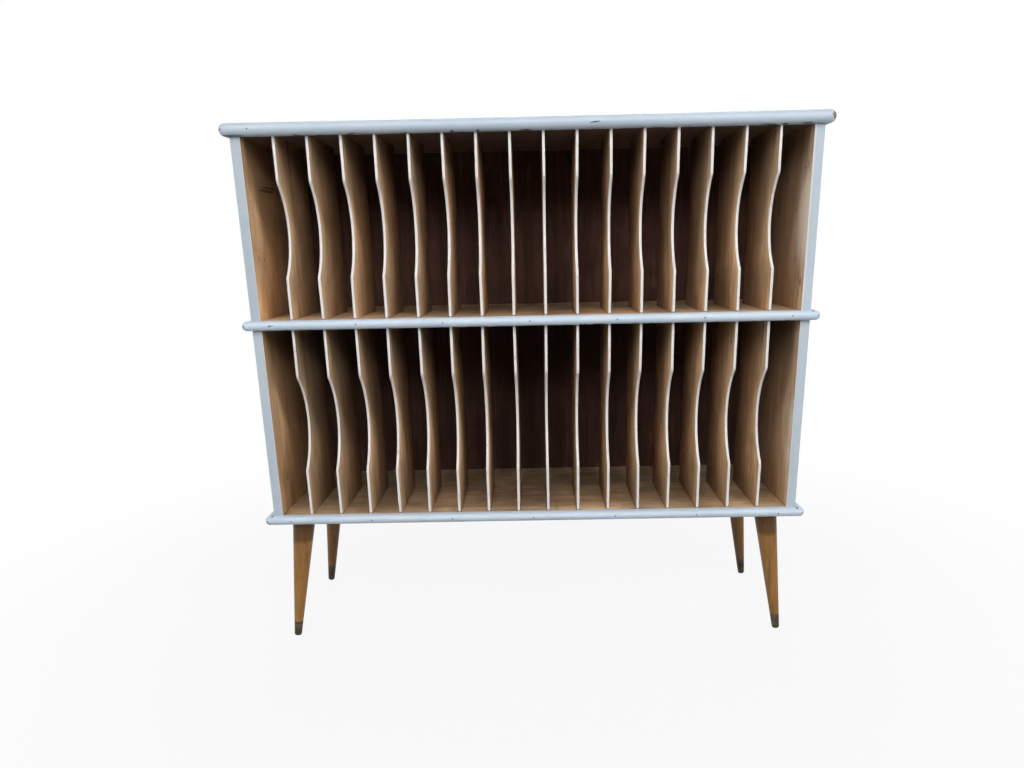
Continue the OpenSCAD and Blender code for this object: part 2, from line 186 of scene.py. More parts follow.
class ShaderSheet(NodeSheet):
    """One material's nodes."""

    def __init__(self, name: str) -> None:
        """Starts a material with one Principled shader on its output.

        Args:
            name: the material's name.
        """
        self.material = bpy.data.materials.new(name)
        self.material.use_nodes = True
        super().__init__(self.material.node_tree)
        self.shader = self.add("ShaderNodeBsdfPrincipled")
        self.output = self.add("ShaderNodeOutputMaterial")
        self.join(self.shader.outputs["BSDF"], self.output.inputs["Surface"])
        self._place = self.add("ShaderNodeTexCoord").outputs["Object"]

    def place(self, scale: Sequence[float], shift: Sequence[float] = ORIGIN) -> Socket:
        """The object coordinates, times scale and plus shift along each axis."""
        values = {"Vector": self._place, "Scale": tuple(scale), "Location": tuple(shift)}
        return self.node("ShaderNodeMapping", values)

    def axes(self) -> tuple[Socket, Socket, Socket]:
        """The three object coordinates as single numbers, in metres.

        Returns:
            The X, Y and Z sockets.
        """
        node = self.add("ShaderNodeSeparateXYZ")
        self.join(self._place, node.inputs["Vector"])
        return node.outputs["X"], node.outputs["Y"], node.outputs["Z"]

    def noise(
        self,
        scale: Sequence[float],
        detail: float = 3.0,
        roughness: float = 0.5,
        distortion: float = 0.0,
        shift: Sequence[float] = ORIGIN,
    ) -> Socket:
        """Noise over the object coordinates.

        Args:
            scale: ripples per metre along each axis.
            detail: octaves.
            roughness: strength of the finer octaves.
            distortion: how far the noise is pulled about.
            shift: where in the noise the piece lies.

        Returns:
            The factor socket, from 0 to 1.
        """
        settings = {
            "Vector": self.place(scale, shift),
            "Scale": 1.0,
            "Detail": detail,
            "Roughness": roughness,
            "Distortion": distortion,
        }
        return self.node("ShaderNodeTexNoise", settings)

    def even_noise(
        self, scale: float, detail: float = 3.0, roughness: float = 0.6, distortion: float = 0.0
    ) -> Socket:
        """Noise from 0 to 1 with as many ripples per metre along every axis."""
        return self.noise((scale,) * 3, detail, roughness, distortion)

    def apart(self, value: Socket, middle: Any) -> Socket:
        """How far a number is from a middle, either way."""
        return self.maths("ABSOLUTE", self.minus(value, middle))

    def length(self, *parts: Socket) -> Socket:
        """The length of a vector.

        Args:
            parts: its parts along each axis.

        Returns:
            The value socket.
        """
        square: Any = 0.0
        for part in parts:
            square = self.maths("MULTIPLY_ADD", part, part, square)
        return self.maths("SQRT", square)

    def span(
        self,
        value: Socket,
        low: float,
        high: float,
        out_low: float = 0.0,
        out_high: float = 1.0,
    ) -> Socket:
        """Maps a number's range smoothly to another, and holds it there.

        Args:
            value: the number.
            low: where the result is out_low.
            high: where the result is out_high.
            out_low: the result at low.
            out_high: the result at high.

        Returns:
            The value socket.
        """
        limits = {
            "Value": value,
            "From Min": low,
            "From Max": high,
            "To Min": out_low,
            "To Max": out_high,
        }
        return self.node(
            "ShaderNodeMapRange", limits, interpolation_type="SMOOTHSTEP", clamp=True
        )

    def border(self, past: Socket, half: float) -> Socket:
        """Steps from 0 to 1 where a length passes 0, softly over half either way."""
        return self.span(past, -half, half)

    def ramp(self, value: Socket, stops: Iterable[tuple[float, Colour]]) -> Socket:
        """Colours by a number.

        Args:
            value: the number, from 0 to 1.
            stops: pairs of number and colour, in order.

        Returns:
            The colour socket.
        """
        node = self.add("ShaderNodeValToRGB")
        wanted = list(stops)
        elements = node.color_ramp.elements
        while len(elements) < len(wanted):
            elements.new(0.5)
        for element, (position, colour) in zip(elements, wanted):
            element.position = position
            element.color = (*colour, 1.0)
        self.join(value, node.inputs["Fac"])
        return node.outputs["Color"]

    def mix(self, amount: Any, first: Any, second: Any, blend: str = "MIX") -> Socket:
        """Mixes two colours.

        Args:
            amount: how much of the second, from 0 to 1.
            first: the first colour or socket.
            second: the second colour or socket.
            blend: the blend type.

        Returns:
            The colour socket.
        """
        node = self.add("ShaderNodeMix", data_type="RGBA", blend_type=blend)
        self.feed(node.inputs[0], amount)
        self.feed(node.inputs[6], first)
        self.feed(node.inputs[7], second)
        return node.outputs[2]

    def tint(self, colour: Socket, factor: Any) -> Socket:
        """Multiplies a colour by another."""
        return self.mix(1.0, colour, factor, "MULTIPLY")

    def level(self, amount: Any, first: Any, second: Any) -> Socket:
        """Mixes two numbers; amount is how much of the second."""
        return self.node("ShaderNodeMix", {0: amount, 2: first, 3: second}, data_type="FLOAT")

    def shade(self, colour: Socket, value: Socket, low: float, high: float) -> Socket:
        """Lightens or darkens a colour by a number.

        Args:
            colour: the colour.
            value: the number, from 0 to 1.
            low: the factor at 0.
            high: the factor at 1.

        Returns:
            The colour socket.
        """
        factor = self.maths("MULTIPLY_ADD", value, high - low, low)
        grey = self.node("ShaderNodeCombineColor", {"Red": factor, "Green": factor, "Blue": factor})
        return self.tint(colour, grey)

    def relief(self, height: Socket, depth: float, strength: float) -> None:
        """Puts a bump on the shader; depth is what a height of 1 stands for, in metres."""
        bump = {"Strength": strength, "Distance": depth, "Height": height}
        self.join(self.node("ShaderNodeBump", bump), self.shader.inputs["Normal"])

    def finish(self, **inputs: Any) -> bpy.types.Material:
        """Feeds the shader's inputs.

        Args:
            inputs: sockets, numbers or colours by input name, with _ for a space.

        Returns:
            The finished material.
        """
        for key, value in inputs.items():
            self.feed(self.shader.inputs[key.replace("_", " ")], value)
        return self.material


@dataclass(frozen=True)
class Mark:
    """One mark at a known place on a piece.

    Attributes:
        first: its middle along the first axis.
        second: its middle along the second axis.
        half_first: half its size along the first axis.
        half_second: half its size along the second axis.
        depth: how far it darkens, from 0 to 1.
    """

    first: float
    second: float
    half_first: float
    half_second: float
    depth: float = 0.8

    def draw(self, sheet: ShaderSheet, colour: Socket, first: Socket, second: Socket) -> Socket:
        """Darkens a colour in the mark.

        Args:
            sheet: the material's nodes.
            colour: the colour.
            first: the coordinate along the first axis.
            second: the coordinate along the second axis.

        Returns:
            The colour socket.
        """
        parts = (
            sheet.maths("DIVIDE", sheet.minus(first, self.first), self.half_first),
            sheet.maths("DIVIDE", sheet.minus(second, self.second), self.half_second),
        )
        ragged = sheet.even_noise(380.0, 3.0, 0.65)
        reach = sheet.maths("MULTIPLY_ADD", ragged, 1.1, sheet.length(*parts))
        inside = sheet.span(reach, 1.55, 1.20)
        return sheet.shade(colour, inside, 1.0, 1.0 - self.depth)


def stretch(run: Run, along: float, across: float) -> tuple[float, float, float]:
    """Noise scales for a pattern that runs one way.

    Args:
        run: the way it runs.
        along: ripples per metre along it.
        across: ripples per metre across it.

    Returns:
        The scale of each axis.
    """
    scales = [across, across, across]
    scales[run.value] = along
    return scales[0], scales[1], scales[2]


@dataclass(frozen=True)
class WoodFigure:
    """The figure of a wood: its bands, streaks, pores and knots.

    Attributes:
        run: the way the grain runs.
        pale: the lightest colour.
        middle: the usual colour.
        dark: the darkest colour.
        band: broad bands per metre across the grain.
        streak: fine streaks per metre across the grain.
        pore: pores per metre across the grain.
        along: bands, streaks and pores per metre along the grain.
        patch: paler and darker patches per metre.
        pore_depth: how far the pores darken, from 0 to 1.
        knots: how far the knots darken, from 0 to 1.
        shift: where in the wood the piece was cut.
    """

    run: Run
    pale: Colour
    middle: Colour
    dark: Colour
    band: float = 30.0
    streak: float = 110.0
    pore: float = 850.0
    along: tuple[float, float, float] = (2.6, 5.5, 32.0)
    patch: float = 4.2
    pore_depth: float = 0.3
    knots: float = 0.0
    shift: Sequence[float] = ORIGIN

    def draw(self, sheet: ShaderSheet) -> tuple[Socket, Socket]:
        """Draws the figure on a sheet.

        Args:
            sheet: the material's nodes.

        Returns:
            The colour socket and the relief's height socket.
        """
        across = (self.band, self.streak, self.pore)
        scales = [stretch(self.run, *pair) for pair in zip(self.along, across)]
        bands = sheet.noise(scales[0], 4.0, 0.6, 1.9, self.shift)
        streaks = sheet.noise(scales[1], 4.0, 0.65, 1.0, self.shift)
        pores = sheet.noise(scales[2], 2.0, 0.5, 0.0, self.shift)
        patches = sheet.noise((self.patch,) * 3, 3.0, 0.55, 0.5, self.shift)
        colour = sheet.ramp(
            bands,
            [(0.30, self.dark), (0.46, self.middle), (0.56, self.middle), (0.74, self.pale)],
        )
        colour = sheet.shade(colour, sheet.span(streaks, 0.25, 0.75), 0.80, 1.16)
        colour = sheet.shade(colour, sheet.span(patches, 0.28, 0.72), 0.70, 1.26)
        open_pores = sheet.span(pores, 0.58, 0.70)
        colour = sheet.shade(colour, open_pores, 1.0, 1.0 - self.pore_depth)
        if self.knots > 0.0:
            colour = sheet.shade(colour, self.knot_mask(sheet), 1.0, 1.0 - self.knots)
        return colour, sheet.minus(sheet.times(streaks, 0.5), open_pores)

    def knot_mask(self, sheet: ShaderSheet) -> Socket:
        """A few small eyes with a ring round each.

        Args:
            sheet: the material's nodes.

        Returns:
            The mask socket, 1 in a knot.
        """
        where = sheet.place(stretch(self.run, 6.0, 9.5), self.shift)
        distance = sheet.node("ShaderNodeTexVoronoi", {"Vector": where, "Scale": 1.0}, feature="F1")
        wobble = sheet.even_noise(90.0, 2.0, 0.5)
        reach = sheet.maths("MULTIPLY_ADD", wobble, 0.05, distance)
        eye = sheet.span(reach, 0.075, 0.055)
        ring = sheet.span(sheet.apart(reach, 0.115), 0.012, 0.004)
        return sheet.maths("MAXIMUM", eye, sheet.times(ring, 0.6))


@dataclass(frozen=True)
class SleeveWearAndPaintedLight:
    """Sleeve scuffs and greying on the veneer, with painted light and shade.

    Attributes:
        front_y: where the painted light makes the wood palest.
        rear_y: where the painted shade makes it as dark as it gets.
        front_painted_light: how much brighter the painted light makes the front.
        rear_painted_shade: how dark the painted shade makes the rear.
        stray: how far the change between them strays.
        scuff: how far the scuffs darken.
        ceiling_painted_shadow: how dark the painted shadow of the board above makes the top of a
            tier.
        head: the distances from the ceiling between which that fades out.
        head_stray: how far it strays.
        ceilings: the undersides over the lower and the upper tier.
        half_board: half the thickness of the board between the tiers.
        foot_shade: how much darker the foot of the lower tier is.
        foot: the heights between which that fades out.
        taupe: what the wood has greyed to in places.
        greyed: how far it has.
        left_shade: how much darker the lower tier's left end is.
        left: the places between which that fades out.
    """

    front_y: float = -150 * MM
    rear_y: float = 60 * MM
    front_painted_light: float = 1.16
    rear_painted_shade: float = 0.94
    stray: float = 70 * MM
    scuff: float = 0.22
    ceiling_painted_shadow: float = 0.60
    head: tuple[float, float] = (30 * MM, 150 * MM)
    head_stray: float = 40 * MM
    ceilings: tuple[float, float] = (660 * MM, 1006 * MM)
    half_board: float = 9 * MM
    foot_shade: float = 0.86
    foot: tuple[float, float] = (290 * MM, 410 * MM)
    taupe: Colour = (0.40, 0.315, 0.245)
    greyed: float = 0.38
    left_shade: float = 1.0
    left: tuple[float, float] = (-430 * MM, -60 * MM)

    def draw(self, sheet: ShaderSheet, colour: Socket) -> Socket:
        """Draws the wear and the painted light and shade over a wood's colour.

        Args:
            sheet: the material's nodes.
            colour: the wood's colour.

        Returns:
            The colour socket.
        """
        across, deep, up = sheet.axes()
        wander = sheet.even_noise(14.0)
        # aged goes from the front of the slots, where light is painted on, to the rear, where shade
        # is painted on.
        place = sheet.maths("MULTIPLY_ADD", wander, self.stray, deep)
        half = self.stray / 2
        aged = sheet.span(place, self.front_y + half, self.rear_y + half)
        colour = sheet.shade(colour, aged, self.front_painted_light, self.rear_painted_shade)
        cloud = sheet.noise((8.0, 6.5, 4.0), 3.0, 0.6, 0.4)
        grey = sheet.span(cloud, 0.42, 0.66, 0.0, self.greyed)
        colour = sheet.mix(grey, colour, self.taupe)
        # Painted shadow of the board above, darkest just under each tier's ceiling.
        low, high = self.ceilings
        upper = sheet.maths("GREATER_THAN", up, low + self.half_board)
        ceiling = sheet.maths("MULTIPLY_ADD", upper, high - low, low)
        below = sheet.minus(ceiling, up)
        below = sheet.maths("MULTIPLY_ADD", wander, self.head_stray, below)
        colour = sheet.shade(colour, sheet.span(below, *self.head), self.ceiling_painted_shadow, 1.0)
        # Darker towards the floor of the lower tier.
        colour = sheet.shade(colour, sheet.span(up, *self.foot), self.foot_shade, 1.0)
        # Darker towards the lower tier's left end.
        clean = sheet.maths("MAXIMUM", sheet.span(across, *self.left), upper)
        colour = sheet.shade(colour, clean, self.left_shade, 1.0)
        lines = sheet.noise((60.0, 5.0, 620.0), 3.0, 0.6, 0.0, (2.0, 9.0, 4.0))
        where = sheet.noise((12.0, 7.0, 12.0), 2.0, 0.5)
        scuffs = sheet.times(sheet.span(lines, 0.60, 0.72), sheet.span(where, 0.42, 0.6))
        return sheet.shade(colour, scuffs, 1.0, 1.0 - self.scuff)


@dataclass(frozen=True)
class PaintFilm:
    """Brushed paint on wood.

    Attributes:
        run: the way the brush went.
        colour: the paint.
        bare: what shows where the paint is rubbed through.
        grime: what sits in its pits.
        aged: what the paint has turned to in places.
    """

    run: Run
    colour: Colour = (0.480, 0.555, 0.630)
    bare: Colour = (0.30, 0.19, 0.11)
    grime: Colour = (0.10, 0.085, 0.075)
    aged: Colour = (0.445, 0.530, 0.620)

    def draw(self, sheet: ShaderSheet) -> tuple[Socket, Socket]:
        """Draws the paint on a sheet.

        Args:
            sheet: the material's nodes.

        Returns:
            The colour socket and the relief's height socket.
        """
        brush = sheet.noise(stretch(self.run, 7.0, 420.0), 3.0, 0.6)
        cloud = sheet.even_noise(9.0, 3.0, 0.6, 0.3)
        mottle = sheet.even_noise(160.0)
        specks = sheet.even_noise(520.0, 1.0, 0.5)
        chips = sheet.even_noise(75.0, 4.0, 0.65, 0.6)
        colour = sheet.mix(sheet.span(cloud, 0.3, 0.7), self.colour, self.aged)
        colour = sheet.shade(colour, brush, 0.955, 1.045)
        colour = sheet.shade(colour, mottle, 0.97, 1.03)
        colour = sheet.mix(sheet.span(specks, 0.79, 0.84, 0.0, 0.7), colour, self.grime)
        worn = sheet.span(chips, 0.775, 0.80)
        colour = sheet.mix(worn, colour, self.bare)
        dashes = sheet.noise(stretch(self.run, 85.0, 520.0), 3.0, 0.6, 0.4, (7.0, 3.0, 5.0))
        colour = sheet.mix(sheet.span(dashes, 0.745, 0.775, 0.0, 0.85), colour, self.grime)
        runs = sheet.noise(stretch(self.run, 5.0, 55.0), 3.0, 0.6, 0.2, (1.0, 8.0, 2.0))
        colour = sheet.shade(colour, runs, 0.94, 1.05)
        height = sheet.plus(brush, sheet.times(mottle, 0.5))
        height = sheet.minus(height, sheet.times(worn, 2.5))
        return colour, height


# ---------------------------------------------------------------------------
# Geometry sheets
# ---------------------------------------------------------------------------


class GeometrySheet(NodeSheet):
    """One Geometry Nodes tree."""

    def __init__(self, name: str) -> None:
        """Starts a tree with a geometry input and output.

        Args:
            name: the tree's name.
        """
        super().__init__(bpy.data.node_groups.new(name, "GeometryNodeTree"))
        for way in ("INPUT", "OUTPUT"):
            self.tree.interface.new_socket("Geometry", in_out=way, socket_type="NodeSocketGeometry")
        self.entry = self.add("NodeGroupInput")
        self.exit = self.add("NodeGroupOutput")
        self.identifiers: dict[str, str] = {}

    def take(self, name: str, kind: str = "NodeSocketFloat") -> Socket:
        """Adds a named input to the tree.

        Args:
            name: the input's name.
            kind: the input's socket type.

        Returns:
            The socket that carries it.
        """
        item = self.tree.interface.new_socket(name, in_out="INPUT", socket_type=kind)
        self.identifiers[name] = item.identifier
        return next(s for s in self.entry.outputs if s.identifier == item.identifier)

    def vector(self, x: Any = 0.0, y: Any = 0.0, z: Any = 0.0) -> Socket:
        """A vector of three numbers or sockets."""
        return self.node("ShaderNodeCombineXYZ", {"X": x, "Y": y, "Z": z})

    def crease(self, geometry: Socket, limit: float) -> Socket:
        """Shades faces smooth, with edges sharp where they turn by more than limit.

        Args:
            geometry: the mesh.
            limit: the angle, in radians.

        Returns:
            The mesh socket.
        """
        smooth = self.node("GeometryNodeSetShadeSmooth", {"Geometry": geometry}, domain="FACE")
        angle = self.add("GeometryNodeInputMeshEdgeAngle").outputs["Unsigned Angle"]
        soft = self.maths("LESS_THAN", angle, limit)
        return self.node(
            "GeometryNodeSetShadeSmooth",
            {"Geometry": smooth, "Shade Smooth": soft},
            domain="EDGE",
        )

    def close(self, geometry: Socket, finish: Socket) -> None:
        """Ends the tree in real geometry with its material.

        Args:
            geometry: the geometry.
            finish: the material's socket.
        """
        real = self.node("GeometryNodeRealizeInstances", {"Geometry": geometry})
        made = self.node("GeometryNodeSetMaterial", {"Geometry": real, "Material": finish})
        self.join(made, self.exit.inputs[0])

    def make(
        self, name: str, values: dict[str, Any], seed: bpy.types.Mesh | None = None
    ) -> bpy.types.Object:
        """Runs the tree once and keeps its result as a plain mesh.

        Args:
            name: the new piece's name.
            values: the tree's inputs by name.
            seed: the mesh that the tree starts from, if it needs one.

        Returns:
            The new piece, at the origin, with no modifier.
        """
        start = seed or bpy.data.meshes.new(f"{name}_start")
        piece = bpy.data.objects.new(name, start)
        bpy.context.scene.collection.objects.link(piece)
        modifier = piece.modifiers.new("shape", "NODES")
        modifier.node_group = self.tree
        for key, value in values.items():
            modifier[self.identifiers[key]] = value
        bpy.context.view_layer.update()
        ready = piece.evaluated_get(bpy.context.evaluated_depsgraph_get())
        mesh = bpy.data.meshes.new_from_object(ready)
        piece.modifiers.clear()
        piece.data = mesh
        mesh.name = name
        finishes = [each for each in values.values() if isinstance(each, bpy.types.Material)]
        mesh.materials.clear()
        mesh.materials.append(finishes[0])
        mesh.polygons.foreach_set("material_index", [0] * len(mesh.polygons))
        bpy.data.meshes.remove(start)
        return piece


# ---------------------------------------------------------------------------
# The stand's own sizes, as the CAD has them
# ---------------------------------------------------------------------------


@dataclass(frozen=True)
class TierSizes:
    """What the dividers of one tier measure, and where its right panels have a painted sheen.

    Attributes:
        floor_z: the top of the board they stand on.
        scoop_z: the height of the scoop's middle.
        scoop_y: the place of its arc's centre, in front of the edge.
        scoop_r: the arc's radius.
        painted_sheen_z: the height at which the painted sheen on the right panels is strongest.
        painted_sheen_reach: how far in from the front it reaches.
    """

    floor_z: float
    scoop_z: float
    scoop_y: float
    scoop_r: float
    painted_sheen_z: float
    painted_sheen_reach: float


# The dividers' front and rear edges.
FRONT_Y = -149.5 * MM
REAR_Y = 40.5 * MM

TIERS: dict[Tier, TierSizes] = {
    Tier.UPPER: TierSizes(678 * MM, 842 * MM, -222.6 * MM, 112.1 * MM, 850 * MM, 85 * MM),
    Tier.LOWER: TierSizes(282 * MM, 471 * MM, -230.1 * MM, 124.6 * MM, 430 * MM, 45 * MM),
}


# ---------------------------------------------------------------------------
# Finishes
# ---------------------------------------------------------------------------


VENEER_PALE: Colour = (0.68, 0.480, 0.300)
VENEER_MIDDLE: Colour = (0.54, 0.367, 0.218)
VENEER_DARK: Colour = (0.34, 0.210, 0.118)
VENEER_ROUGHNESS = 0.6
PAINT_ROUGHNESS = 0.42
SURFACE_DEPTH = 0.12 * MM
SURFACE_STRENGTH = 0.6


def veneer(run: Run, knots: float, shift: Sequence[float] = ORIGIN) -> WoodFigure:
    """The tan veneer of the boards, panels and dividers."""
    return WoodFigure(run, VENEER_PALE, VENEER_MIDDLE, VENEER_DARK, knots=knots, shift=shift)


def dimmed(colours: Iterable[Colour], factor: float) -> list[Colour]:
    """The same colours in the same order, all made darker by one factor."""
    return [(red * factor, green * factor, blue * factor) for red, green, blue in colours]


def part_painted(
    sheet: ShaderSheet,
    painted: Socket,
    wood: tuple[Socket, Socket],
    paint: tuple[Socket, Socket],
    shine: float,
) -> bpy.types.Material:
    """Finishes a piece that is veneer in one place and paint in another.

    Args:
        sheet: the material's nodes.
        painted: 1 where there is paint.
        wood: the veneer's colour and height.
        paint: the paint's colour and height.
        shine: how much both reflect.

    Returns:
        The material.
    """
    sheet.relief(sheet.level(painted, wood[1], paint[1]), SURFACE_DEPTH, SURFACE_STRENGTH)
    return sheet.finish(
        Base_Color=sheet.mix(painted, wood[0], paint[0]),
        Roughness=sheet.level(painted, VENEER_ROUGHNESS, PAINT_ROUGHNESS),
        Specular_IOR_Level=shine,
    )


@dataclass(frozen=True)
class LippingFinish:
    """The painted lippings, rubbed and bruised along their lower edge.

    Attributes:
        name: the material's name.
        run: the way the lipping runs.
        low_z: the lipping's lower edge.
        marks: its scratches, by their X and Z.
        dulled: how much of its brightness is left.
        rub: where it is rubbed through, as X, Y and Z.
        rub_reach: the distances from there between which the rub fades in.
        rub_ragged: how ragged the rub is.
        bruise: the colour of the bruises.
        bruise_reach: how far up they come, at least and at most.
        bare: the darkest and the palest wood in the rub.
    """

    name: str
    run: Run
    low_z: float
    marks: tuple[Mark, ...] = ()
    dulled: float = 1.0
    rub: tuple[float, float, float] = (548.5 * MM, -164.0 * MM, 1019.5 * MM)
    rub_reach: tuple[float, float] = (10.2 * MM, 9.4 * MM)
    rub_ragged: float = 6.0 * MM
    bruise: Colour = (0.055, 0.035, 0.028)
    bruise_reach: tuple[float, float] = (-0.3 * MM, 2.4 * MM)
    bare: tuple[Colour, Colour] = ((0.05, 0.035, 0.028), (0.20, 0.15, 0.12))

    def make(self) -> bpy.types.Material:
        """Makes the material.

        Returns:
            The material.
        """
        sheet = ShaderSheet(self.name)
        colour, height = PaintFilm(self.run).draw(sheet)
        across, deep, up = sheet.axes()
        above = sheet.minus(up, self.low_z)
        ragged = sheet.noise((58.0, 58.0, 58.0), 4.0, 0.6, 0.5, (3.0, 1.0, 2.0))
        reach = sheet.span(ragged, 0.50, 0.74, *self.bruise_reach)
        bruised = sheet.border(sheet.minus(reach, above), 0.3 * MM)
        colour = sheet.mix(bruised, colour, self.bruise)
        height = sheet.minus(height, sheet.times(bruised, 2.0))
        for mark in self.marks:
            colour = mark.draw(sheet, colour, across, up)
        worn = sheet.even_noise(210.0)
        away = [sheet.minus(*pair) for pair in zip((across, deep, up), self.rub)]
        near = sheet.maths("MULTIPLY_ADD", worn, self.rub_ragged, sheet.length(*away))
        rubbed = sheet.span(near, *self.rub_reach)
        colour = sheet.mix(rubbed, colour, sheet.mix(worn, *self.bare))
        colour = sheet.tint(colour, (self.dulled,) * 3)
        sheet.relief(height, SURFACE_DEPTH, SURFACE_STRENGTH)
        return sheet.finish(
            Base_Color=colour,
            Roughness=sheet.span(height, 0.2, 1.2, 0.36, 0.52),
            Specular_IOR_Level=0.5,
        )


@dataclass(frozen=True)
class SidePanelFinish:
    """Side panels: painted outside and on the front edge, veneer inside.

    Attributes:
        name: the material's name.
        inner_x: the distance of the inner face from the middle.
        front_y: the front edge.
        back_y: the back edge.
        painted_sheen_z: the height at which the painted sheen on the right panels is strongest.
        painted_sheen_reach: how far in from the front it reaches.
        painted_sheen_fade: the distances from that height between which it fades out.
        lap: how far the paint laps onto the inside, at most.
        raw: the places, from the back edge, between which the paint stops.
        arris: how far bare undercoat shows along the inner corner.
        arris_stray: how far it strays from that.
        marks: dark marks inside, by their Y and Z.
        dulled: how much of the paint's brightness is left.
        painted_light_tint: painted light, a tint that makes the veneer brighter and warmer.
        painted_sheen: the pale colour of the painted sheen.
        dust: the tint of dust on the paint.
        undercoat: the undercoat.
    """

    name: str
    inner_x: float
    front_y: float
    back_y: float
    painted_sheen_z: float
    painted_sheen_reach: float
    arris: float
    painted_sheen_fade: tuple[float, float] = (40 * MM, 120 * MM)
    lap: float = 2.6 * MM
    raw: tuple[float, float] = (-1.2 * MM, -0.6 * MM)
    arris_stray: float = 1.6 * MM
    marks: tuple[Mark, ...] = ()
    dulled: float = 1.0
    painted_light_tint: Colour = (1.0, 1.0, 1.0)
    painted_sheen: Colour = (0.80, 0.70, 0.60)
    dust: Colour = (0.88, 0.86, 0.83)
    undercoat: Colour = (0.57, 0.56, 0.54)

    def draw_veneer(self, sheet: ShaderSheet) -> tuple[Socket, Socket]:
        """Draws the inside, with its marks and its painted sheen.

        Args:
            sheet: the material's nodes.

        Returns:
            The colour socket and the relief's height socket.
        """
        wood, height = veneer(Run.ALONG_Z, 0.6, (4.0, 0.0, 7.0)).draw(sheet)
        # Painted light tint on the veneer, brighter and warmer on the left panels.
        wood = sheet.tint(SleeveWearAndPaintedLight().draw(sheet, wood), self.painted_light_tint)
        across, deep, up = sheet.axes()
        for mark in self.marks:
            wood = mark.draw(sheet, wood, deep, up)
        # Painted sheen: a pale reflection on the right panels' veneer near the front.
        painted_sheen = sheet.span(sheet.noise((22.0, 22.0, 9.0), 3.0, 0.6), 0.30, 0.62, 0.45, 1.0)
        near = sheet.span(deep, self.front_y, self.front_y + self.painted_sheen_reach, 0.95, 0.1)
        painted_sheen = sheet.times(sheet.times(painted_sheen, near), sheet.span(across, 0.0, 0.4))
        level = sheet.span(sheet.apart(up, self.painted_sheen_z), *self.painted_sheen_fade, 1.0, 0.15)
        return sheet.mix(sheet.times(painted_sheen, level), wood, self.painted_sheen), height

    def make(self) -> bpy.types.Material:
        """Makes the material.

        Returns:
            The material.
        """
        sheet = ShaderSheet(self.name)
        paint, paint_height = PaintFilm(Run.ALONG_Z).draw(sheet)
        paint = sheet.tint(paint, dimmed([self.dust], self.dulled)[0])
        wood = self.draw_veneer(sheet)
        across, deep, _ = sheet.axes()
        wander = sheet.even_noise(45.0)
        inward = sheet.minus(sheet.maths("ABSOLUTE", across), self.inner_x)
        outside = sheet.span(inward, 0.2 * MM, 0.5 * MM)
        lap = sheet.maths("MULTIPLY_ADD", wander, self.lap, self.front_y)
        edge = sheet.border(sheet.minus(lap, deep), 0.15 * MM)
        painted = sheet.maths("MAXIMUM", outside, edge)
        widest = self.arris + self.arris_stray / 2
        bare = sheet.maths("MULTIPLY_ADD", wander, -self.arris_stray, widest)
        bare = sheet.span(sheet.minus(inward, bare), 0.3 * MM, -0.3 * MM)
        paint = sheet.mix(bare, paint, self.undercoat)
        raw = sheet.span(sheet.minus(deep, self.back_y), *self.raw)
        painted = sheet.times(painted, sheet.minus(1.0, raw))
        return part_painted(sheet, painted, wood, (paint, paint_height), 0.25)


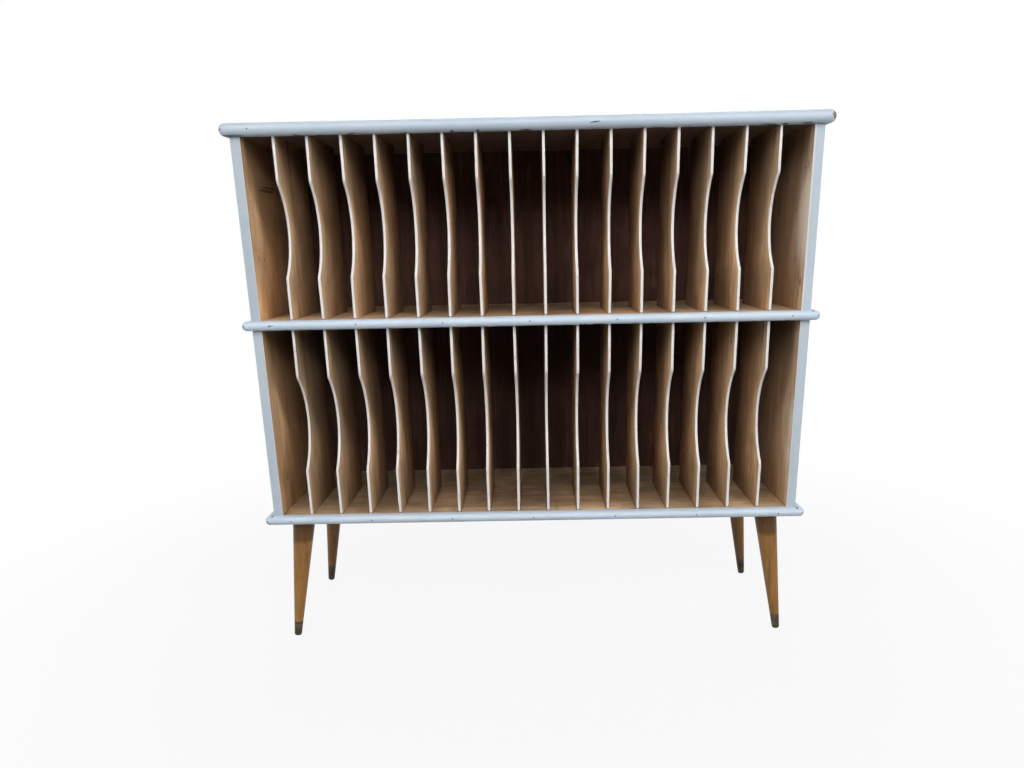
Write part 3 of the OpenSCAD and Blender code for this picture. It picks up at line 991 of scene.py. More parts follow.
@dataclass(frozen=True)
class BoardFinish:
    """Boards: veneer inside and below, painted on top where that is asked for.

    Attributes:
        name: the material's name.
        painted_z: the height above which the board is painted.
        under_z: the height of its underside, which is darker, with dust and painted shade.
        pitch: the step from one divider to the next.
        half_divider: half a divider's thickness.
        joint: how wide the dirt and painted shade beside a divider is.
        joint_shade: how dark the dirt and painted shade leave the wood.
        dulled: how much of the floor's brightness is left.
        over: whether dividers stand under the board too.
        under_dust_and_shade: the colour of the dust and painted shade on its underside.
        under_dust_and_shade_amount: how much of that there is.
        under_front_painted_shade: how dark the painted shade makes the underside's front.
        under_fade: the places between which that fades out.
    """

    name: str
    painted_z: float
    under_z: float
    pitch: float = 61.12 * MM
    half_divider: float = 2.5 * MM
    joint: float = 1.3 * MM
    joint_shade: float = 0.42
    dulled: float = 1.0
    over: bool = True
    under_dust_and_shade: Colour = (0.27, 0.170, 0.130)
    under_dust_and_shade_amount: float = 0.7
    under_front_painted_shade: float = 0.34
    under_fade: tuple[float, float] = (-150 * MM, 60 * MM)

    def draw_joints(self, sheet: ShaderSheet, colour: Socket) -> Socket:
        """Draws the dirt and painted shade in the crease where the dividers meet the board.

        Args:
            sheet: the material's nodes.
            colour: the board's colour.

        Returns:
            The colour socket.
        """
        across, deep, _ = sheet.axes()
        step = sheet.minus(sheet.maths("DIVIDE", across, self.pitch), 0.5)
        off = sheet.apart(step, sheet.maths("ROUND", step))
        gap = sheet.maths("MULTIPLY_ADD", off, self.pitch, -self.half_divider)
        ragged = sheet.noise((120.0, 40.0, 120.0), 3.0, 0.6)
        edge = sheet.times(ragged, self.joint * 2.0)
        # Dirt and painted shade in the crease beside each divider.
        dirt = sheet.span(sheet.minus(gap, edge), 0.4 * MM, -0.4 * MM)
        dirt = sheet.times(dirt, sheet.span(deep, REAR_Y + 1.0 * MM, REAR_Y))
        return sheet.shade(colour, dirt, 1.0, self.joint_shade)

    def make(self) -> bpy.types.Material:
        """Makes the material.

        Returns:
            The material.
        """
        sheet = ShaderSheet(self.name)
        paint = PaintFilm(Run.ALONG_X).draw(sheet)
        wood, wood_height = veneer(Run.ALONG_X, 0.45).draw(sheet)
        wood = SleeveWearAndPaintedLight(rear_painted_shade=0.9, foot_shade=1.0, left_shade=0.68).draw(sheet, wood)
        blotch = sheet.noise((9.0, 16.0, 9.0), 4.0, 0.62, 0.6)
        wood = sheet.shade(wood, sheet.span(blotch, 0.3, 0.7), 0.70, 1.08)
        wood = sheet.tint(wood, (self.dulled,) * 3)
        jointed = self.draw_joints(sheet, wood)
        _, deep, up = sheet.axes()
        # Dust and painted shade on the underside, the painted shade darkest at the front.
        dusty_and_shaded = sheet.mix(self.under_dust_and_shade_amount, jointed if self.over else wood, self.under_dust_and_shade)
        dusty_and_shaded = sheet.shade(dusty_and_shaded, sheet.span(deep, *self.under_fade), self.under_front_painted_shade, 1.0)
        under = sheet.span(sheet.minus(up, self.under_z), 0.3 * MM, 0.6 * MM)
        wood = sheet.mix(under, dusty_and_shaded, jointed)
        painted = sheet.border(sheet.minus(up, self.painted_z), 0.2 * MM)
        return part_painted(sheet, painted, (wood, wood_height), paint, 0.15)


@dataclass(frozen=True)
class DividerFinish:
    """Dividers: veneer faces, the front edge painted off-white and lapped on.

    Attributes:
        name: the material's name.
        paint: the edge's paint.
        rubbed: what it has turned to in places.
        lap: how far the paint laps onto the faces, at most.
        foot: the heights over the floor between which the painted edge is darker.
        foot_shade: how dark it gets there.
    """

    name: str
    paint: Colour = (0.655, 0.635, 0.615)
    rubbed: Colour = (0.47, 0.43, 0.39)
    lap: float = 1.8 * MM
    foot: tuple[float, float] = (2.8 * MM, 1.2 * MM)
    foot_shade: float = 0.3

    def make(self) -> bpy.types.Material:
        """Makes the material.

        Returns:
            The material.
        """
        sheet = ShaderSheet(self.name)
        wood, wood_height = veneer(Run.ALONG_Z, 0.5, (1.0, 5.0, 3.0)).draw(sheet)
        wood = SleeveWearAndPaintedLight(left_shade=0.84).draw(sheet, wood)
        _, deep, up = sheet.axes()
        inside = sheet.minus(deep, FRONT_Y)
        foot: Any = 0.0
        for sizes in TIERS.values():
            low = sheet.span(sheet.apart(up, sizes.floor_z), *self.foot)
            foot = sheet.maths("MAXIMUM", foot, low)
            arc = sheet.length(sheet.minus(deep, sizes.scoop_y), sheet.minus(up, sizes.scoop_z))
            inside = sheet.maths("MINIMUM", inside, sheet.minus(arc, sizes.scoop_r))
        lap = sheet.times(sheet.even_noise(60.0), self.lap)
        painted = sheet.border(sheet.minus(lap, inside), 0.15 * MM)
        worn = sheet.span(sheet.even_noise(90.0, 4.0, 0.65), 0.55, 0.8)
        paint = sheet.mix(worn, self.paint, self.rubbed)
        # The painted edge is darker at its foot.
        paint = sheet.shade(paint, foot, 1.0, self.foot_shade)
        sheet.relief(wood_height, 0.1 * MM, SURFACE_STRENGTH)
        return sheet.finish(
            Base_Color=sheet.mix(painted, wood, paint),
            Roughness=sheet.level(painted, VENEER_ROUGHNESS, 0.45),
            Specular_IOR_Level=0.15,
        )


@dataclass(frozen=True)
class StainedFinish:
    """Plain wood with one stain, for the back panels, legs and dowels.

    Attributes:
        name: the material's name.
        figure: the wood's figure.
        roughness: how matt the surface is.
        shine: how much the wood itself reflects.
        gloss: strength of a varnish coat.
        gloss_roughness: how matt the coat is.
        head_painted_shadow: how much darker the painted shadow of the carcass makes the upper end.
        head_z: the height of that end.
        head_fade: how far below it the painted shadow starts, and is darkest.
        head_shadow_tint: the tint of the painted shadow.
        foot_z: the height up to which dirt has darkened its foot.
        foot_fade: how far over that the dirt ends, and is thickest.
        foot_dirt: the dirt.
        foot_dirty: how much of it there is.
        strays: how far the darker wood and the dirt stray from those heights.
    """

    name: str
    figure: WoodFigure
    roughness: float = 0.6
    shine: float = 0.3
    gloss: float = 0.0
    gloss_roughness: float = 0.2
    head_painted_shadow: float = 0.0
    head_z: float = 264 * MM
    head_fade: tuple[float, float] = (48 * MM, 34 * MM)
    head_shadow_tint: Colour = (1.0, 0.92, 0.84)
    foot_z: float = 0.0
    foot_fade: tuple[float, float] = (4.5 * MM, 1.5 * MM)
    foot_dirt: Colour = (0.046, 0.038, 0.024)
    foot_dirty: float = 0.85
    strays: tuple[float, float] = (14 * MM, 6 * MM)

    def draw_ends(self, sheet: ShaderSheet, colour: Socket) -> Socket:
        """Paints the carcass's shadow on the upper end, and puts dirt on the foot.

        Args:
            sheet: the material's nodes.
            colour: the wood's colour.

        Returns:
            The colour socket.
        """
        _, _, up = sheet.axes()
        wander = sheet.even_noise(30.0, 2.0, 0.5)
        # Painted shadow of the carcass over the upper end.
        level = sheet.maths("MULTIPLY_ADD", wander, self.strays[0], up)
        head = sheet.span(level, *(self.head_z - below for below in self.head_fade))
        dark = sheet.tint(colour, dimmed([self.head_shadow_tint], 1.0 - self.head_painted_shadow)[0])
        colour = sheet.mix(head, colour, dark)
        level = sheet.maths("MULTIPLY_ADD", wander, self.strays[1], up)
        ends = [self.foot_z + over for over in self.foot_fade]
        foot = sheet.span(level, *ends, 0.0, self.foot_dirty)
        return sheet.mix(foot, colour, self.foot_dirt)

    def make(self) -> bpy.types.Material:
        """Makes the material.

        Returns:
            The material.
        """
        sheet = ShaderSheet(self.name)
        colour, height = self.figure.draw(sheet)
        if self.head_painted_shadow > 0.0:
            colour = self.draw_ends(sheet, colour)
        rough = sheet.even_noise(40.0)
        sheet.relief(height, 0.1 * MM, 0.5)
        return sheet.finish(
            Base_Color=colour,
            Roughness=sheet.maths("MULTIPLY_ADD", rough, 0.16, self.roughness - 0.08),
            Specular_IOR_Level=self.shine,
            Coat_Weight=self.gloss,
            Coat_Roughness=self.gloss_roughness,
        )


@dataclass(frozen=True)
class MetalFinish:
    """Dull metal with tarnish.

    Attributes:
        name: the material's name.
        clean: the metal.
        tarnished: what it turns to.
        roughness: how matt it is.
        metallic: how much it is metal.
        rear_painted_shade: how dark painted shade makes it at the stand's rear.
        fade: how far each way from the middle that comes in.
    """

    name: str
    clean: Colour
    tarnished: Colour
    roughness: float
    metallic: float
    rear_painted_shade: float = 1.0
    fade: float = 100 * MM

    def make(self) -> bpy.types.Material:
        """Makes the material.

        Returns:
            The material.
        """
        sheet = ShaderSheet(self.name)
        specks = sheet.even_noise(600.0)
        dull = sheet.span(sheet.even_noise(70.0, 4.0, 0.6, 0.5), 0.32, 0.62)
        colour = sheet.shade(sheet.mix(dull, self.clean, self.tarnished), specks, 0.8, 1.2)
        # Painted shade on the metal at the stand's rear.
        if self.rear_painted_shade < 1.0:
            _, deep, _ = sheet.axes()
            rear = sheet.border(deep, self.fade)
            colour = sheet.shade(colour, rear, 1.0, self.rear_painted_shade)
        sheet.relief(specks, 0.05 * MM, 0.5)
        return sheet.finish(
            Base_Color=colour,
            Metallic=self.metallic,
            Roughness=sheet.level(dull, self.roughness - 0.12, self.roughness + 0.12),
        )


@dataclass(frozen=True)
class StoppingFinish:
    """Old dark stopping, crumbled and dull.

    Attributes:
        name: the material's name.
        dark: its darkest crumbs.
        pale: its palest crumbs.
    """

    name: str
    dark: Colour = (0.018, 0.013, 0.011)
    pale: Colour = (0.065, 0.045, 0.035)

    def make(self) -> bpy.types.Material:
        """Makes the material.

        Returns:
            The material.
        """
        sheet = ShaderSheet(self.name)
        crumbs = sheet.even_noise(1500.0, 3.0, 0.65)
        colour = sheet.ramp(crumbs, [(0.35, self.dark), (0.65, self.pale)])
        sheet.relief(crumbs, 0.15 * MM, 0.8)
        return sheet.finish(Base_Color=colour, Roughness=0.85, Specular_IOR_Level=0.2)


# ---------------------------------------------------------------------------
# Dressing
# ---------------------------------------------------------------------------


def dress(piece: bpy.types.Object, material: bpy.types.Material) -> None:
    """Gives every material slot of a piece the same material.

    Args:
        piece: the piece.
        material: its finish.
    """
    if not piece.material_slots:
        piece.data.materials.append(material)
    for place in piece.material_slots:
        place.material = material
    LOG.info("%s: finish %s", piece.name, material.name)


def settle(piece: bpy.types.Object, slot: str, *nodes: str) -> None:
    """Attaches a new piece to its body and hides the CAD nodes that it stands for.

    Args:
        piece: the new piece.
        slot: the record's material slot; it is not used.
        nodes: the CAD nodes that it replaces, if any.
    """
    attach(piece, BODY)
    if nodes:
        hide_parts(*nodes)
    LOG.info("%s: %d faces", piece.name, len(piece.data.polygons))


def solids_of(node: bpy.types.Object) -> list[tuple[Vector, Vector]]:
    """The box of each separate solid in a CAD node.

    Args:
        node: the CAD node's object, which is left as it is.

    Returns:
        The lowest and highest corner of each solid, in order of its lowest one.
    """
    copy = bmesh.new()
    copy.from_mesh(node.data)
    bmesh.ops.remove_doubles(copy, verts=copy.verts, dist=0.001 * MM)
    waiting = set(copy.verts)
    boxes = []
    while waiting:
        edge = [waiting.pop()]
        group = []
        while edge:
            vertex = edge.pop()
            group.append(vertex.co.copy())
            for link in vertex.link_edges:
                other = link.other_vert(vertex)
                if other in waiting:
                    waiting.remove(other)
                    edge.append(other)
        low = Vector([min(point[i] for point in group) for i in range(3)])
        high = Vector([max(point[i] for point in group) for i in range(3)])
        boxes.append((low, high))
    copy.free()
    return sorted(boxes, key=lambda box: tuple(box[0]))


# ---------------------------------------------------------------------------
# Sub-assemblies
# ---------------------------------------------------------------------------


@dataclass
class Carcass:
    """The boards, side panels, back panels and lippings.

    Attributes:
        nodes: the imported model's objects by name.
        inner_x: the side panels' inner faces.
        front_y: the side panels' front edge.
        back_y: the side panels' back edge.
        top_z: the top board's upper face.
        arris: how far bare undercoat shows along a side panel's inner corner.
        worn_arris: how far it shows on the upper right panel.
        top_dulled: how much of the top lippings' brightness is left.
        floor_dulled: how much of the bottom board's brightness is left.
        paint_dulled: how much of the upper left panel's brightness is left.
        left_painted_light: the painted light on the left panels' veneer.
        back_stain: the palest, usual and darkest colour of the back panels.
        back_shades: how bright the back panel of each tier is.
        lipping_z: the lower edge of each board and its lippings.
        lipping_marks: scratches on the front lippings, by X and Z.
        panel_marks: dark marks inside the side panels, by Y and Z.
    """

    nodes: dict[str, bpy.types.Object]
    inner_x: float = 517 * MM
    front_y: float = -153.5 * MM
    back_y: float = 166.5 * MM
    top_z: float = 1029 * MM
    arris: float = 0.9 * MM
    worn_arris: float = 2.8 * MM
    top_dulled: float = 0.84
    floor_dulled: float = 0.97
    paint_dulled: float = 0.93
    left_painted_light: Colour = (1.20, 1.10, 0.95)
    back_stain: tuple[Colour, Colour, Colour] = (
        (0.150, 0.076, 0.056),
        (0.100, 0.050, 0.038),
        (0.062, 0.031, 0.025),
    )
    back_shades: dict[Tier, float] = field(
        default_factory=lambda: {Tier.UPPER: 1.0, Tier.LOWER: 0.72}
    )
    lipping_z: dict[str, float] = field(
        default_factory=lambda: {"top": 1006 * MM, "middle": 660 * MM, "bottom": 264 * MM}
    )
    lipping_marks: dict[str, tuple[Mark, ...]] = field(
        default_factory=lambda: {
            "top": (
                Mark(117.0 * MM, 1015.2 * MM, 5.0 * MM, 1.1 * MM, 0.75),
                Mark(123.0 * MM, 1016.0 * MM, 6.0 * MM, 1.5 * MM, 0.9),
                Mark(129.0 * MM, 1016.6 * MM, 4.0 * MM, 1.1 * MM, 0.8),
                Mark(-528.0 * MM, 1007.2 * MM, 25.0 * MM, 2.0 * MM, 0.7),
                Mark(502.0 * MM, 1007.3 * MM, 13.0 * MM, 1.6 * MM, 0.7),
            ),
            "middle": (
                Mark(-495.0 * MM, 669.8 * MM, 7.0 * MM, 1.0 * MM, 0.9),
                Mark(537.4 * MM, 677.6 * MM, 2.4 * MM, 1.8 * MM, 0.8),
            ),
            "bottom": (
                Mark(-537.4 * MM, 281.6 * MM, 2.4 * MM, 1.8 * MM, 0.8),
                Mark(537.4 * MM, 281.6 * MM, 2.4 * MM, 1.8 * MM, 0.8),
            ),
        }
    )
    panel_marks: dict[str, tuple[Mark, ...]] = field(
        default_factory=lambda: {
            "upper_left": (
                Mark(-22.0 * MM, 927.0 * MM, 46.0 * MM, 2.9 * MM, 0.55),
                Mark(-36.0 * MM, 920.5 * MM, 52.0 * MM, 3.0 * MM, 0.68),
            ),
            "upper_right": (
                Mark(-134.6 * MM, 941.0 * MM, 5.0 * MM, 9.0 * MM, 0.6),
                Mark(-122.0 * MM, 936.0 * MM, 8.0 * MM, 4.0 * MM, 0.55),
                Mark(-134.2 * MM, 729.7 * MM, 5.0 * MM, 10.0 * MM, 0.65),
                Mark(-122.0 * MM, 742.0 * MM, 3.0 * MM, 12.0 * MM, 0.45),
            ),
        }
    )

    def dress_boards(self) -> None:
        """Veneer on the boards, with the top of the top board painted."""
        for board, low_z in self.lipping_z.items():
            finish = BoardFinish(
                f"{board}_veneer",
                painted_z=self.top_z - 0.5 * MM,
                under_z=low_z,
                dulled=self.floor_dulled if board == "bottom" else 1.0,
                over=board != "bottom",
            )
            dress(self.nodes[f"{board}_board"], finish.make())

    def dress_sides(self) -> None:
        """Paint and veneer on the side panels."""
        for tier in Tier:
            for hand in ("left", "right"):
                place = f"{tier.value}_{hand}"
                finish = SidePanelFinish(
                    f"{place}_panel",
                    inner_x=self.inner_x,
                    front_y=self.front_y,
                    back_y=self.back_y,
                    painted_sheen_z=TIERS[tier].painted_sheen_z,
                    painted_sheen_reach=TIERS[tier].painted_sheen_reach,
                    arris=self.worn_arris if place == "upper_right" else self.arris,
                    marks=self.panel_marks.get(place, ()),
                    dulled=self.paint_dulled if place == "upper_left" else 1.0,
                    painted_light_tint=self.left_painted_light if hand == "left" else (1.0, 1.0, 1.0),
                )
                dress(self.nodes[f"{place}_side"], finish.make())

    def dress_backs(self) -> None:
        """Dark stain on the back panels."""
        for tier, level in self.back_shades.items():
            stain = dimmed(self.back_stain, level)
            figure = WoodFigure(Run.ALONG_Z, *stain, band=26.0, knots=0.4)
            finish = StainedFinish(f"{tier.value}_back_stain", figure, roughness=0.7, shine=0.06)
            dress(self.nodes[f"{tier.value}_back"], finish.make())

    def dress_lippings(self) -> None:
        """Paint on the lippings."""
        for board, low_z in self.lipping_z.items():
            dulled = self.top_dulled if board == "top" else 1.0
            front = LippingFinish(
                f"{board}_front_lipping_paint",
                Run.ALONG_X,
                low_z,
                marks=self.lipping_marks[board],
                dulled=dulled,
            )
            ends = LippingFinish(f"{board}_end_lipping_paint", Run.ALONG_Y, low_z, dulled=dulled)
            dress(self.nodes[f"{board}_front_lipping"], front.make())
            dress(self.nodes[f"{board}_end_lippings"], ends.make())

    def build(self) -> None:
        """Dresses every part of the carcass."""
        self.dress_boards()
        self.dress_sides()
        self.dress_backs()
        self.dress_lippings()


@dataclass
class Dividers:
    """The scooped dividers of both tiers, with eased edges and a slight bow.

    Attributes:
        per_tier: how many stand in a tier.
        round_over: how far the edges are eased.
        samples: cross-sections up a divider.
        bow: the most that one bows sideways.
        bow_step: how far on in its sine the next one's bow is, in radians.
        waver: how far its front edge strays.
        ripples: how often it strays, per metre.
        corner: how far the scoop's corners are eased.
        sharp: the turn from which an edge is drawn sharp.
    """

    per_tier: int = 16
    round_over: float = 0.9 * MM
    samples: int = 97
    bow: float = 0.9 * MM
    bow_step: float = 2.4
    waver: float = 0.7 * MM
    ripples: float = 11.0
    corner: float = 2.0 * MM
    sharp: float = math.radians(38.0)

    def tree(self) -> GeometrySheet:
        """A board on edge whose front is cut back by an arc.

        Returns:
            The Geometry Nodes tree.
        """
        sheet = GeometrySheet("scooped_divider")
        middle_x = sheet.take("Middle X")
        foot, head = sheet.take("Foot Z"), sheet.take("Head Z")
        front, rear = sheet.take("Front Y"), sheet.take("Rear Y")
        thick = sheet.take("Thickness")
        scoop_z, scoop_y = sheet.take("Scoop Z"), sheet.take("Scoop Y")
        radius = sheet.take("Scoop Radius")
        round_over = sheet.take("Round Over")
        bow, waver = sheet.take("Bow"), sheet.take("Waver")
        seed = sheet.take("Seed")
        finish = sheet.take("Finish", "NodeSocketMaterial")

        spine = sheet.node("GeometryNodeCurvePrimitiveLine", {"End": (0.0, 0.0, 1.0)})
        spine = sheet.node("GeometryNodeResampleCurve", {"Curve": spine, "Count": self.samples})
        plank = sheet.node(
            "GeometryNodeCurveToMesh",
            {"Curve": spine, "Profile Curve": self.eased_square(sheet), "Fill Caps": True},
        )
        place = sheet.add("ShaderNodeSeparateXYZ")
        sheet.feed(place.inputs[0], sheet.add("GeometryNodeInputPosition").outputs[0])
        side, deep, rise = place.outputs
        half = sheet.times(thick, 0.5)
        x = self.from_square(sheet, side, half, round_over, middle_x)
        centre = sheet.times(sheet.plus(front, rear), 0.5)
        reach = sheet.times(sheet.minus(rear, front), 0.5)
        y = self.from_square(sheet, deep, reach, round_over, centre)
        height = sheet.minus(head, foot)
        z = sheet.maths("MULTIPLY_ADD", rise, height, foot)

        dz = sheet.minus(z, scoop_z)
        inside = sheet.minus(sheet.times(radius, radius), sheet.times(dz, dz))
        arc = sheet.maths("SQRT", sheet.maths("MAXIMUM", inside, 0.0))
        cut = sheet.minus(sheet.plus(scoop_y, arc), front)
        cut = sheet.maths("SMOOTH_MAX", cut, 0.0, self.corner)
        ends = sheet.maths("SINE", sheet.times(rise, math.pi))
        stray = sheet.times(sheet.times(self.ripple(sheet, seed, z), waver), ends)
        is_front = sheet.maths("LESS_THAN", deep, 0.0)
        moved = sheet.times(sheet.plus(cut, stray), is_front)
        y = sheet.plus(y, moved)
        x = sheet.plus(x, sheet.times(bow, ends))
        plank = sheet.node(
            "GeometryNodeSetPosition", {"Geometry": plank, "Position": sheet.vector(x, y, z)}
        )
        sheet.close(sheet.crease(plank, self.sharp), finish)
        return sheet

    @staticmethod
    def eased_square(sheet: GeometrySheet) -> Socket:
        """A two by two square with corners of radius a half.

        Args:
            sheet: the tree.

        Returns:
            The curve socket.
        """
        outline = sheet.node(
            "GeometryNodeCurvePrimitiveQuadrilateral", {"Width": 2.0, "Height": 2.0}
        )
        rounding = {"Curve": outline, "Count": 3, "Radius": 0.5}
        return sheet.node("GeometryNodeFilletCurve", rounding, mode="POLY")

    @staticmethod
    def from_square(
        sheet: GeometrySheet, value: Socket, half: Socket, ease: Socket, middle: Socket
    ) -> Socket:
        """Stretches a coordinate of the eased square to the real cross-section.

        Args:
            sheet: the tree.
            value: the coordinate, from -1 to 1, eased in its outer halves.
            half: half the real size.
            ease: the real radius of the eased edge.
            middle: the real middle.

        Returns:
            The real coordinate.
        """
        size = sheet.maths("ABSOLUTE", value)
        over = sheet.maths("MAXIMUM", sheet.minus(size, 0.5), 0.0)
        flat = sheet.maths("MINIMUM", sheet.times(size, 2.0), 1.0)
        inner = sheet.times(sheet.minus(half, ease), flat)
        outer = sheet.times(sheet.times(over, 2.0), ease)
        whole = sheet.times(sheet.plus(inner, outer), sheet.maths("SIGN", value))
        return sheet.plus(whole, middle)

    def ripple(self, sheet: GeometrySheet, seed: Socket, along: Socket) -> Socket:
        """Noise from -1 to 1 along one line.

        Args:
            sheet: the tree.
            seed: which line of the noise.
            along: the distance along it, in metres.

        Returns:
            The value socket.
        """
        line = {"Vector": sheet.vector(x=along), "W": seed, "Scale": self.ripples, "Detail": 3.0}
        noise = sheet.node("ShaderNodeTexNoise", line, noise_dimensions="4D")
        return sheet.maths("MULTIPLY_ADD", noise, 2.0, -1.0)

    def build(self) -> None:
        """Makes every divider, in place of its CAD node."""
        finish = DividerFinish("divider_veneer").make()
        sheet = self.tree()
        for row, tier in enumerate(Tier):
            sizes = TIERS[tier]
            for number in range(1, self.per_tier + 1):
                node = f"{tier.value}_divider_{number:02d}"
                low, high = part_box(node)
                mark = row * 100 + number
                piece = sheet.make(
                    f"{node}_shaped",
                    {
                        "Middle X": (low.x + high.x) / 2,
                        "Foot Z": low.z,
                        "Head Z": high.z,
                        "Front Y": low.y,
                        "Rear Y": high.y,
                        "Thickness": high.x - low.x,
                        "Scoop Z": sizes.scoop_z,
                        "Scoop Y": sizes.scoop_y,
                        "Scoop Radius": sizes.scoop_r,
                        "Round Over": self.round_over,
                        "Bow": self.bow * math.sin(mark * self.bow_step),
                        "Waver": self.waver,
                        "Seed": float(mark),
                        "Finish": finish,
                    },
                )
                settle(piece, "divider_board", node)


@dataclass
class PointFixings:
    """A small turned piece set at each of many points, such as a screw.

    Attributes:
        name: the tree's name.
        rings: the height and radius of each ring of the turned shape, from the
            hidden end to the end that shows.
        sides: how many sides the turned shape has.
        slot_width: the width of a driving slot, or 0 for none.
        slot_depth: its depth.
        slot_length: its length, past both sides of the head.
        dish: how uneven the shown end is.
        grain: lumps per metre of that unevenness.
        sharp: the turn from which an edge is drawn sharp.
    """

    name: str
    rings: tuple[tuple[float, float], ...]
    sides: int
    slot_width: float = 0.0
    slot_depth: float = 0.0
    slot_length: float = 20 * MM
    dish: float = 0.0
    grain: float = 900.0
    sharp: float = math.radians(35.0)

    def turned(self, sheet: GeometrySheet) -> Socket:
        """The turned shape along Z, with its shown end up.

        Args:
            sheet: the tree.

        Returns:
            The mesh socket.
        """
        spine = sheet.node("GeometryNodeCurvePrimitiveLine", {"End": (0.0, 0.0, 1.0)})
        spine = sheet.node("GeometryNodeResampleCurve", {"Curve": spine, "Count": len(self.rings)})
        count = sheet.add("GeometryNodeInputIndex").outputs[0]
        heights = self.pick(sheet, count, [height for height, _ in self.rings])
        radii = self.pick(sheet, count, [radius for _, radius in self.rings])
        spine = sheet.node(
            "GeometryNodeSetPosition", {"Geometry": spine, "Position": sheet.vector(z=heights)}
        )
        spine = sheet.node("GeometryNodeSetCurveRadius", {"Curve": spine, "Radius": radii})
        circle = {"Resolution": self.sides, "Radius": 1.0}
        ring = sheet.node("GeometryNodeCurvePrimitiveCircle", circle, mode="RADIUS")
        lathe = {"Curve": spine, "Profile Curve": ring, "Scale": radii, "Fill Caps": True}
        return sheet.node("GeometryNodeCurveToMesh", lathe)

    @staticmethod
    def pick(sheet: GeometrySheet, count: Socket, numbers: Sequence[float]) -> Socket:
        """The number that belongs to a ring.

        Args:
            sheet: the tree.
            count: the ring's count from 0.
            numbers: the numbers in order.

        Returns:
            The value socket.
        """
        total: Any = 0.0
        for place, number in enumerate(numbers):
            here = sheet.maths("COMPARE", count, float(place), 0.1)
            total = sheet.maths("MULTIPLY_ADD", here, number, total)
        return total

    def tree(self) -> GeometrySheet:
        """Sets the turned shape at each point of the start mesh.

        Returns:
            The Geometry Nodes tree.
        """
        sheet = GeometrySheet(self.name)
        seed = sheet.take("Seed", "NodeSocketInt")
        finish = sheet.take("Finish", "NodeSocketMaterial")
        shape = self.turned(sheet)
        if self.slot_width > 0.0:
            size = (self.slot_length, self.slot_width, 2.0 * self.slot_depth)
            cut = sheet.node("GeometryNodeMeshCube", {"Size": size})
            boolean = sheet.add("GeometryNodeMeshBoolean", operation="DIFFERENCE")
            sheet.feed(boolean.inputs["Mesh 1"], shape)
            sheet.feed(boolean.inputs["Mesh 2"], cut)
            shape = boolean.outputs[0]
        shape = sheet.crease(shape, self.sharp)
        points = sheet.node("GeometryNodeMeshToPoints", {"Mesh": sheet.entry.outputs[0]})
        facing = sheet.node(
            "GeometryNodeInputNamedAttribute", {"Name": "facing"}, data_type="FLOAT_VECTOR"
        )
        turn = sheet.node("FunctionNodeAlignRotationToVector", {"Vector": facing}, axis="Z")
        spin = sheet.add("FunctionNodeRandomValue", data_type="FLOAT")
        spin.inputs[2].default_value, spin.inputs[3].default_value = 0.0, math.tau
        sheet.feed(spin.inputs["Seed"], seed)
        about = sheet.node(
            "FunctionNodeAxisAngleToRotation", {"Axis": (0.0, 0.0, 1.0), "Angle": spin.outputs[1]}
        )
        turns = {"Rotation": turn, "Rotate By": about}
        both = sheet.node("FunctionNodeRotateRotation", turns, rotation_space="LOCAL")
        placed = sheet.node(
            "GeometryNodeInstanceOnPoints", {"Points": points, "Instance": shape, "Rotation": both}
        )
        if self.dish > 0.0:
            placed = sheet.node("GeometryNodeRealizeInstances", {"Geometry": placed})
            placed = self.roughened(sheet, placed)
        sheet.close(placed, finish)
        return sheet

    def roughened(self, sheet: GeometrySheet, geometry: Socket) -> Socket:
        """Moves the points of a mesh a little by noise.

        Args:
            sheet: the tree.
            geometry: the mesh.

        Returns:
            The mesh socket.
        """
        noise = sheet.add("ShaderNodeTexNoise")
        noise.inputs["Scale"].default_value = self.grain
        shift = sheet.add("ShaderNodeVectorMath", operation="MULTIPLY_ADD")
        sheet.feed(shift.inputs[0], noise.outputs["Color"])
        shift.inputs[1].default_value = (self.dish,) * 3
        shift.inputs[2].default_value = (-self.dish / 2,) * 3
        return sheet.node(
            "GeometryNodeSetPosition", {"Geometry": geometry, "Offset": shift.outputs[0]}
        )

    def build(
        self,
        name: str,
        points: Sequence[tuple[Vector, Vector]],
        finish: bpy.types.Material,
        seed: int,
    ) -> bpy.types.Object:
        """Makes all of them as one piece.

        Args:
            name: the piece's name.
            points: where each stands, and the way it faces.
            finish: its material.
            seed: what turns each one its own way.

        Returns:
            The new piece.
        """
        start = bpy.data.meshes.new(f"{name}_points")
        start.from_pydata([tuple(place) for place, _ in points], [], [])
        ways = start.attributes.new("facing", "FLOAT_VECTOR", "POINT")
        for index, (_, way) in enumerate(points):
            ways.data[index].vector = way
        return self.tree().make(name, {"Seed": seed, "Finish": finish}, start)


